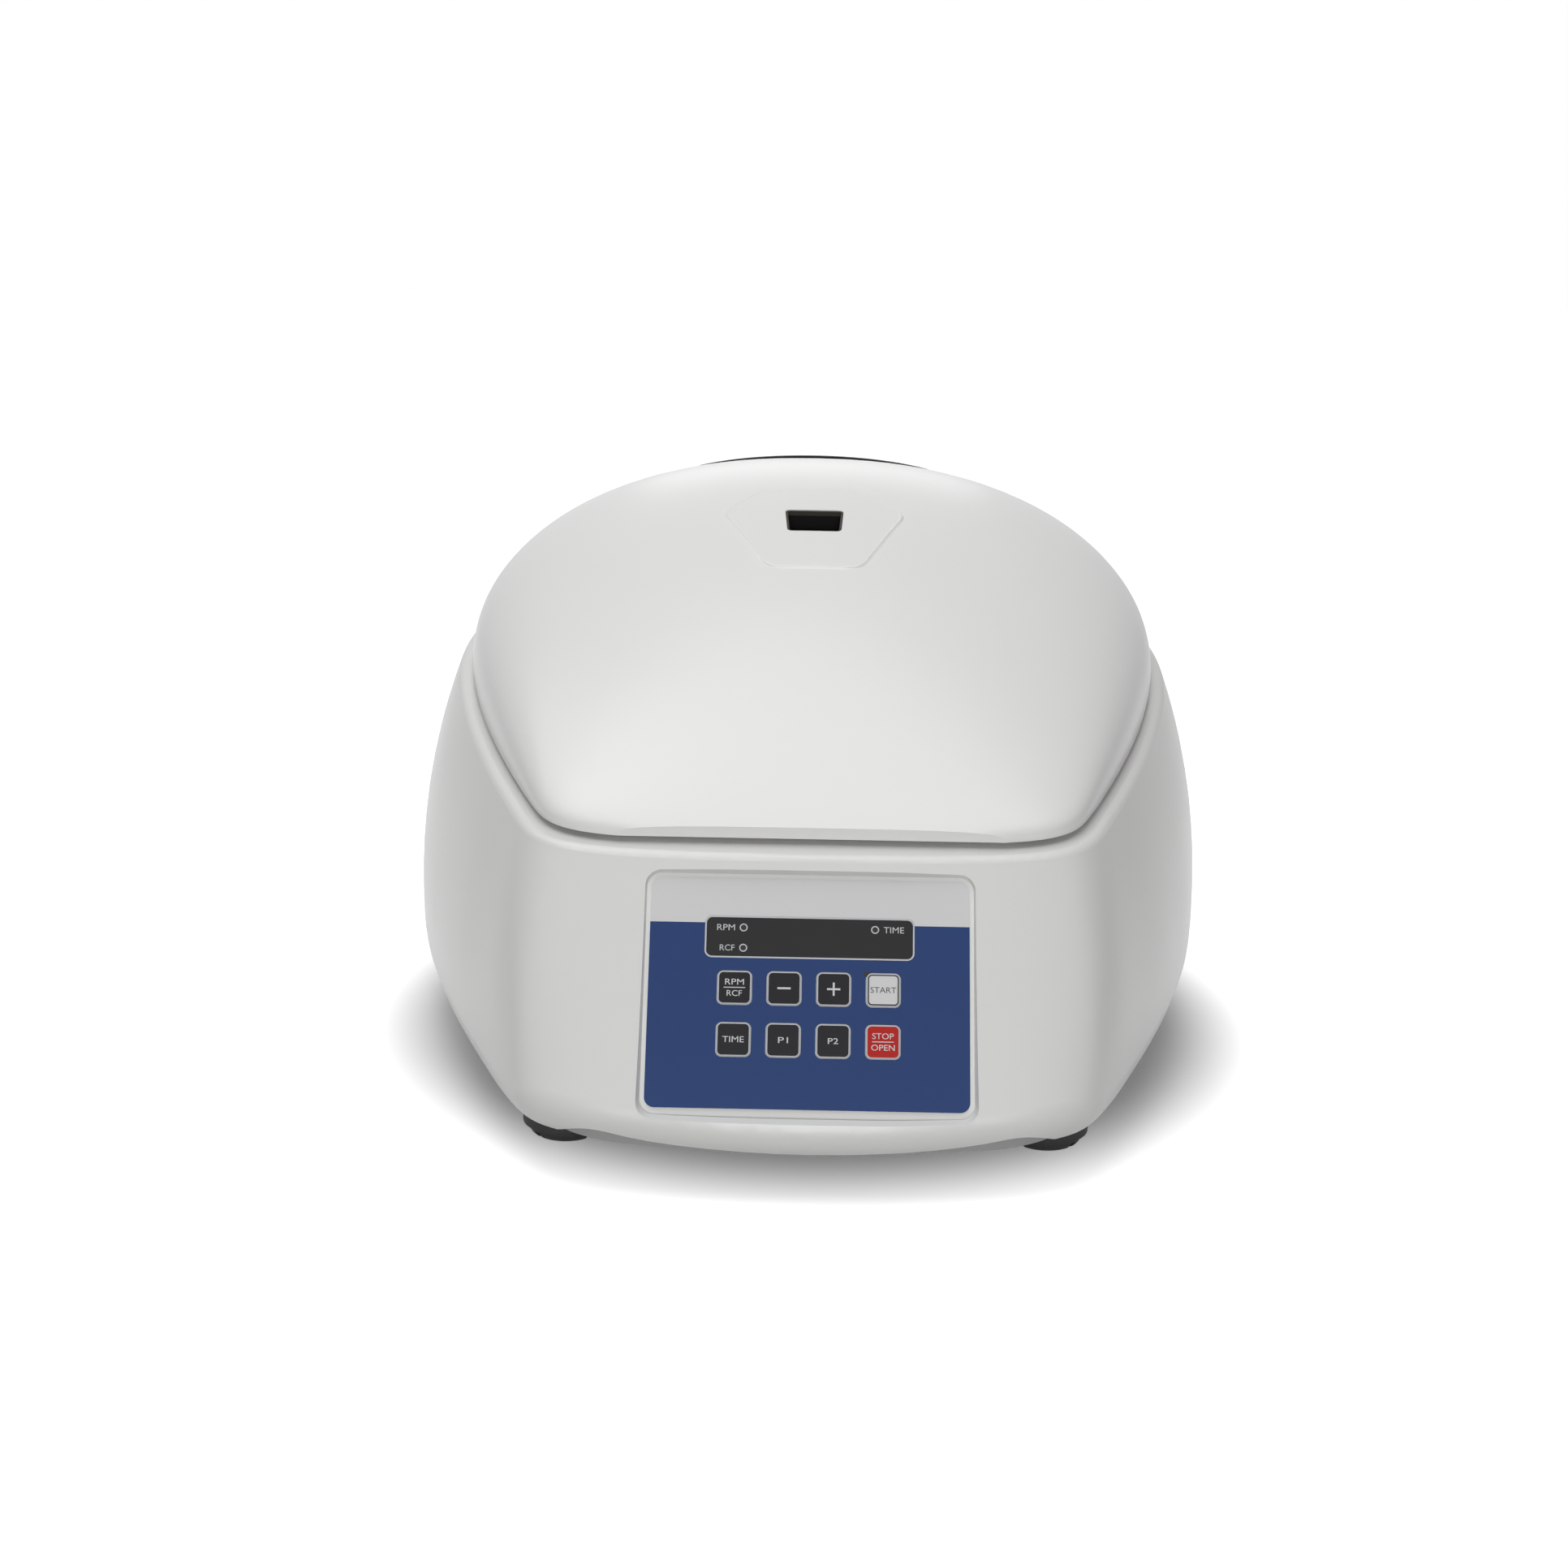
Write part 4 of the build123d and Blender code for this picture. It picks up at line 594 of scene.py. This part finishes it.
def port_ring(stroke, low_drop, high_drop):
    """Ring along the port's walls between two depths; a low_drop of None goes down to the window."""
    def make(bm):
        (front, front_v), (back, back_v) = PORT_CORNERS
        corners = [(-front + PORT_GAP, front_v + PORT_GAP), (front - PORT_GAP, front_v + PORT_GAP),
                   (back - PORT_GAP, back_v - PORT_GAP), (-back + PORT_GAP, back_v - PORT_GAP)]
        bm.faces.new([bm.verts.new((x * MM, v * MM, 0)) for x, v in corners])
        bmesh.ops.bevel(bm, geom=bm.verts[:], offset=PORT_ROUND * MM, offset_type='OFFSET',
                        affect='VERTICES', segments=PORT_SEGMENTS, profile=0.5, material=-1)
        make_hollow(bm, stroke)
        raised(bm, 1.0)
        for vertex in bm.verts:
            share = (vertex.co.y / MM - front_v) / (back_v - front_v)
            top = PORT_HEIGHTS[0] + share * (PORT_HEIGHTS[1] - PORT_HEIGHTS[0])
            if vertex.co.z > 0.5 * MM:
                vertex.co.z = (top - high_drop) * MM
            else:
                vertex.co.z = (PORT_FLOOR if low_drop is None else top - low_drop) * MM
    return make


def dress_port():
    lining = port_ring(LINING_STROKE, None, PORT_LIP - PORT_LAP)
    add_piece("port_lining", lining, deck, port_black, "lid")
    add_piece("port_lip", port_ring(LIP_STROKE, PORT_LIP, 0.0), deck, smoked_lining, "lid")


# Soft bead along the raised pad's outline
PAD_CORNERS = ((18.0, 5.5), (36.0, 50.0), (20.0, 71.5))
PAD_ROUND = 7.0
PAD_ROUND_STEPS = 8
BEAD_HALF = 0.9
BEAD_HEIGHT = 0.22
BEAD_SINK = 0.03
BEAD_SHARES = (-1.0, -0.6, -0.2, 0.2, 0.6, 1.0)
BEAD_PITCH = 2.0
ABOVE_LID = 0.2                # metres over the deck from which the lid's surface is sought


def pad_outline():
    """Points along the pad's rounded outline, in deck coordinates."""
    right = [Vector((x, v)) for x, v in PAD_CORNERS]
    corners = right + [Vector((-corner.x, corner.y)) for corner in reversed(right)]
    points = []
    for i, corner in enumerate(corners):
        before = (corners[i - 1] - corner).normalized()
        after = (corners[(i + 1) % len(corners)] - corner).normalized()
        start, end = corner + before * PAD_ROUND, corner + after * PAD_ROUND
        for step in range(PAD_ROUND_STEPS + 1):
            t = step / PAD_ROUND_STEPS
            points.append(start.lerp(corner, t).lerp(corner.lerp(end, t), t))
        side_end = corners[(i + 1) % len(corners)] - after * PAD_ROUND
        length = (side_end - end).length
        count = int(length / BEAD_PITCH)
        points += [end.lerp(side_end, step / count) for step in range(1, count)]
    return points


def pad_bead(bm):
    """Strip that follows the lid's surface along the outline, higher in its middle than at its sides."""
    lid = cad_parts["lid_shell"]
    to_deck = deck.inverted() @ lid.matrix_world
    surface_tree = BVHTree.FromPolygons([to_deck @ vertex.co for vertex in lid.data.vertices],
                                        [tuple(face.vertices) for face in lid.data.polygons])
    points = pad_outline()
    rows = []
    for i, point in enumerate(points):
        along = (points[(i + 1) % len(points)] - points[i - 1]).normalized()
        outward = Vector((along.y, -along.x))
        row = []
        for share in BEAD_SHARES:
            place = point + outward * share * BEAD_HALF
            start = Vector((place.x * MM, place.y * MM, ABOVE_LID))
            hit = surface_tree.ray_cast(start, Vector((0, 0, -1)))[0]
            lift = BEAD_HEIGHT * (1 - share * share) - BEAD_SINK
            row.append(bm.verts.new((place.x * MM, place.y * MM, hit.z + lift * MM)))
        rows.append(row)
    for i, row in enumerate(rows):
        following = rows[(i + 1) % len(rows)]
        for k in range(len(row) - 1):
            face = bm.faces.new((row[k], row[k + 1], following[k + 1], following[k]))
            face.smooth = True
    bmesh.ops.recalc_face_normals(bm, faces=bm.faces[:])


# Upper lip of the rear cover, which just shows over the lid's crest
LIP_HALF = 50.0
LIP_STEPS = 25
LIP_FOOT = (147.0, 53.8, 0.0024)    # place along the deck, height at the middle, fall to the sides
LIP_CREST = (144.0, 58.0, 0.0017)
LIP_RISE = 1.0
LIP_THICKNESS = 1.1


def cover_lip(bm):
    """Thin curved plate that leans forward from the cover's front edge and runs out at both ends."""
    rows = []
    for i in range(LIP_STEPS):
        x = LIP_HALF * (2 * i / (LIP_STEPS - 1) - 1)
        foot = LIP_FOOT[1] - LIP_FOOT[2] * x * x
        crest = LIP_CREST[1] - LIP_CREST[2] * x * x + LIP_RISE * (1 - (x / LIP_HALF) ** 4)
        section = ((LIP_FOOT[0], foot), (LIP_CREST[0], crest),
                   (LIP_CREST[0] + LIP_THICKNESS, crest), (LIP_FOOT[0] + LIP_THICKNESS, foot))
        rows.append([bm.verts.new((x * MM, v * MM, w * MM)) for v, w in section])
    for row, following in zip(rows, rows[1:]):
        for k in range(4):
            bm.faces.new((row[k], row[(k + 1) % 4], following[(k + 1) % 4], following[k]))
    bm.faces.new(rows[0])
    bm.faces.new(rows[-1])
    bmesh.ops.recalc_face_normals(bm, faces=bm.faces[:])


# Marks on the rocker switch and numbers on the rotor
SWITCH_PLACE = (32.0, 177.4, 53.0)
ROCKER_DEPTH = 3.0             # from the rocker's face to its axis
ROCKER_TURN = radians(8)
MARK_PLACE = (4.6, 0.735)      # sideways and out from the middle of the rocker
MARK_LEAN = radians(11.3)
ON_BAR = (0.5, 3.4)
OFF_RING = (1.6, 0.45)
NUMBER_PLACE = (34.0, 123.46)  # from the rotor's axis and over the ground
NUMBER_SIZE = (2.6, 4.2)


def dress_switch():
    place = Matrix.Translation(Vector(SWITCH_PLACE) * MM) @ Matrix.Rotation(-pi / 2, 4, 'X')
    place = at(place, 0, 0, -ROCKER_DEPTH) @ Matrix.Rotation(ROCKER_TURN, 4, 'Y')
    place = at(place, 0, 0, ROCKER_DEPTH)
    for name, side, mark in (("on", 1, bar(*ON_BAR)), ("off", -1, round_ring(*OFF_RING, INK))):
        face = at(place, side * MARK_PLACE[0], 0, MARK_PLACE[1])
        face = face @ Matrix.Rotation(-side * MARK_LEAN, 4, 'Y') @ Matrix.Rotation(pi, 4, 'Z')
        add_piece(f"switch_{name}_mark", mark, face, white_ink, "rocker")


def dress_rotor():
    """Numbers beside the sleeves, engraved and filled on the sloping plate."""
    for i in range(8):
        angle = i * pi / 4
        place = Matrix.Translation((0, ROTOR_Y * MM, 0)) @ Matrix.Rotation(angle, 4, 'Z')
        place = at(place, NUMBER_PLACE[0], 0, NUMBER_PLACE[1]) @ Matrix.Rotation(-pi / 4, 4, 'Y')
        place = place @ Matrix.Rotation(pi / 2, 4, 'Z')
        add_legend(f"rotor_number_{i + 1}", str(i + 1), *NUMBER_SIZE, place, black_ink, "rotor",
                   "rotor_aluminium")


def assign(material, *names):
    for name in names:
        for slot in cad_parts[name].material_slots:
            slot.material = material


FLOOR_HALF = 20.0


def make_floor():
    mesh = bpy.data.meshes.new("floor")
    bm = bmesh.new()
    bmesh.ops.create_grid(bm, x_segments=1, y_segments=1, size=FLOOR_HALF)
    bm.to_mesh(mesh)
    bm.free()
    mesh.materials.append(make_floor_material())
    floor = bpy.data.objects.new("floor", mesh)
    bpy.context.collection.objects.link(floor)


make_camera()
for lamp in LAMPS:
    make_area_light(*lamp)
make_world()
make_floor()

moulded_skin = make_moulded_skin()
worked_metal = make_worked_metal()

body_white = plastic("body_white", (0.72, 0.72, 0.705), gloss=(0.30, 0.38), clouding=0.02, grain=0.000012)
lid_white = plastic("lid_white", (0.76, 0.76, 0.75), gloss=(0.27, 0.34), clouding=0.02, grain=0.000008)
tray_grey = plastic("tray_grey", (0.28, 0.28, 0.28), gloss=(0.5, 0.6), grain=0.00006, grain_size=1500.0)
liner_grey = plastic("liner_grey", (0.52, 0.52, 0.51), gloss=(0.4, 0.5), grain=0.00004)
black_moulding = plastic("black_moulding", (0.012, 0.012, 0.013), gloss=(0.35, 0.5), clouding=0.2,
                         grain=0.00004)
foot_rubber = plastic("foot_rubber", (0.010, 0.010, 0.011), gloss=(0.65, 0.8), clouding=0.4, grain=0.00008)
gasket_rubber = plastic("gasket_rubber", (0.05, 0.05, 0.05), gloss=(0.6, 0.75), clouding=0.3, grain=0.00005)
sleeve_blue = plastic("sleeve_blue", (0.05, 0.10, 0.30), gloss=(0.3, 0.42), grain=0.00003)
window_tint = plastic("window_tint", (0.004, 0.004, 0.004), gloss=(0.12, 0.2), clouding=0.1, grain=0.0,
                      Specular_IOR_Level=0.02)
display_glass = plastic("display_glass", (0.014, 0.014, 0.014), gloss=(0.36, 0.44), clouding=0.1,
                        grain=0.00002, Specular_IOR_Level=0.2)
smoked_lining = plastic("smoked_lining", (0.045, 0.041, 0.034), gloss=(0.45, 0.55), clouding=0.3,
                        Specular_IOR_Level=0.1)
port_black = plastic("port_black", (0.006, 0.006, 0.006), gloss=(0.5, 0.6), clouding=0.2,
                     Specular_IOR_Level=0.1)
display_face = plastic("display_face", (0.02, 0.02, 0.02), gloss=(0.2, 0.3))
board_green = plastic("board_green", (0.02, 0.12, 0.05), gloss=(0.25, 0.4), clouding=0.5, grain=0.00006)
ring_print = plastic("ring_print", (0.52, 0.53, 0.56), gloss=(0.4, 0.5))
black_print = plastic("black_print", (0.006, 0.006, 0.008), gloss=(0.36, 0.46), clouding=0.15,
                      grain=0.00003, Specular_IOR_Level=0.2)
white_print = plastic("white_print", (0.62, 0.62, 0.62), gloss=(0.36, 0.46), grain=0.00003)
red_print = plastic("red_print", (0.42, 0.014, 0.010), gloss=(0.36, 0.46), clouding=0.08, grain=0.00003,
                    Specular_IOR_Level=0.2)
white_ink = plastic("white_ink", (0.60, 0.60, 0.62), gloss=(0.4, 0.5))
black_ink = plastic("black_ink", (0.02, 0.02, 0.02), gloss=(0.4, 0.5))
lamp_lens = plastic("lamp_lens", (0.012, 0.012, 0.012), gloss=(0.1, 0.2))
motor_black = plastic("motor_black", (0.03, 0.03, 0.033), gloss=(0.35, 0.5), clouding=0.2, grain=0.00008)
bowl_steel = metal("bowl_steel", (0.58, 0.58, 0.57), gloss=(0.18, 0.32))
rotor_metal = metal("rotor_metal", (0.66, 0.66, 0.67), gloss=(0.28, 0.4), lines=1400.0)
shaft_metal = metal("shaft_metal", (0.55, 0.55, 0.55), gloss=(0.15, 0.25), lines=2000.0)
sheet_metal = metal("sheet_metal", (0.5, 0.5, 0.5), gloss=(0.3, 0.45), turned=0.0, lines=1600.0)
screw_metal = metal("screw_metal", (0.45, 0.45, 0.46), gloss=(0.25, 0.4), turned=0.0, lines=2500.0)
brass = metal("brass", (0.62, 0.50, 0.26), gloss=(0.22, 0.35), turned=0.0, lines=2500.0)

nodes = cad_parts
assign(body_white, "housing")
assign(lid_white, "lid_shell")
assign(tray_grey, "base_tray")
assign(liner_grey, "lid_liner")
assign(black_moulding, "rear_cover", "power_inlet", "switch_frame", "power_rocker")
assign(foot_rubber, *[name for name in nodes if name.startswith("foot_") and name != "foot_screws"])
assign(foot_rubber, "motor_dampers", "shaft_seal")
assign(gasket_rubber, "lid_gasket")
assign(sleeve_blue, *[name for name in nodes if name.startswith("tube_sleeve_")])
assign(window_tint, "viewing_window")
assign(display_glass, "display_window")
assign(display_face, "display_module")
assign(board_green, "control_board", "power_board")
assign(make_keypad_film(), "keypad_overlay")
assign(ring_print, *[f"key_{key}" for key in KEYS])
assign(motor_black, "motor")
assign(bowl_steel, "chamber_bowl")
assign(rotor_metal, "rotor_head", "rotor_nut")
assign(shaft_metal, "drive_shaft", "latch_bolt", "hinge_pin")
assign(sheet_metal, "motor_mount", "latch_bracket", "latch_solenoid", "lid_striker", "hinge_bracket",
       "hinge_leaf", "key_domes")
assign(screw_metal, "foot_screws", "base_screws", "bowl_screws", "hinge_screws", "inlet_screws",
       "liner_screws", "striker_screws", "leaf_screws")
assign(brass, "inlet_pins")

for key in KEYS:
    dress_key(key)
dress_display()
dress_port()
add_piece("pad_bead", pad_bead, deck, lid_white, "lid")
add_piece("rear_cover_lip", cover_lip, deck, black_moulding, "lid")
dress_switch()
dress_rotor()
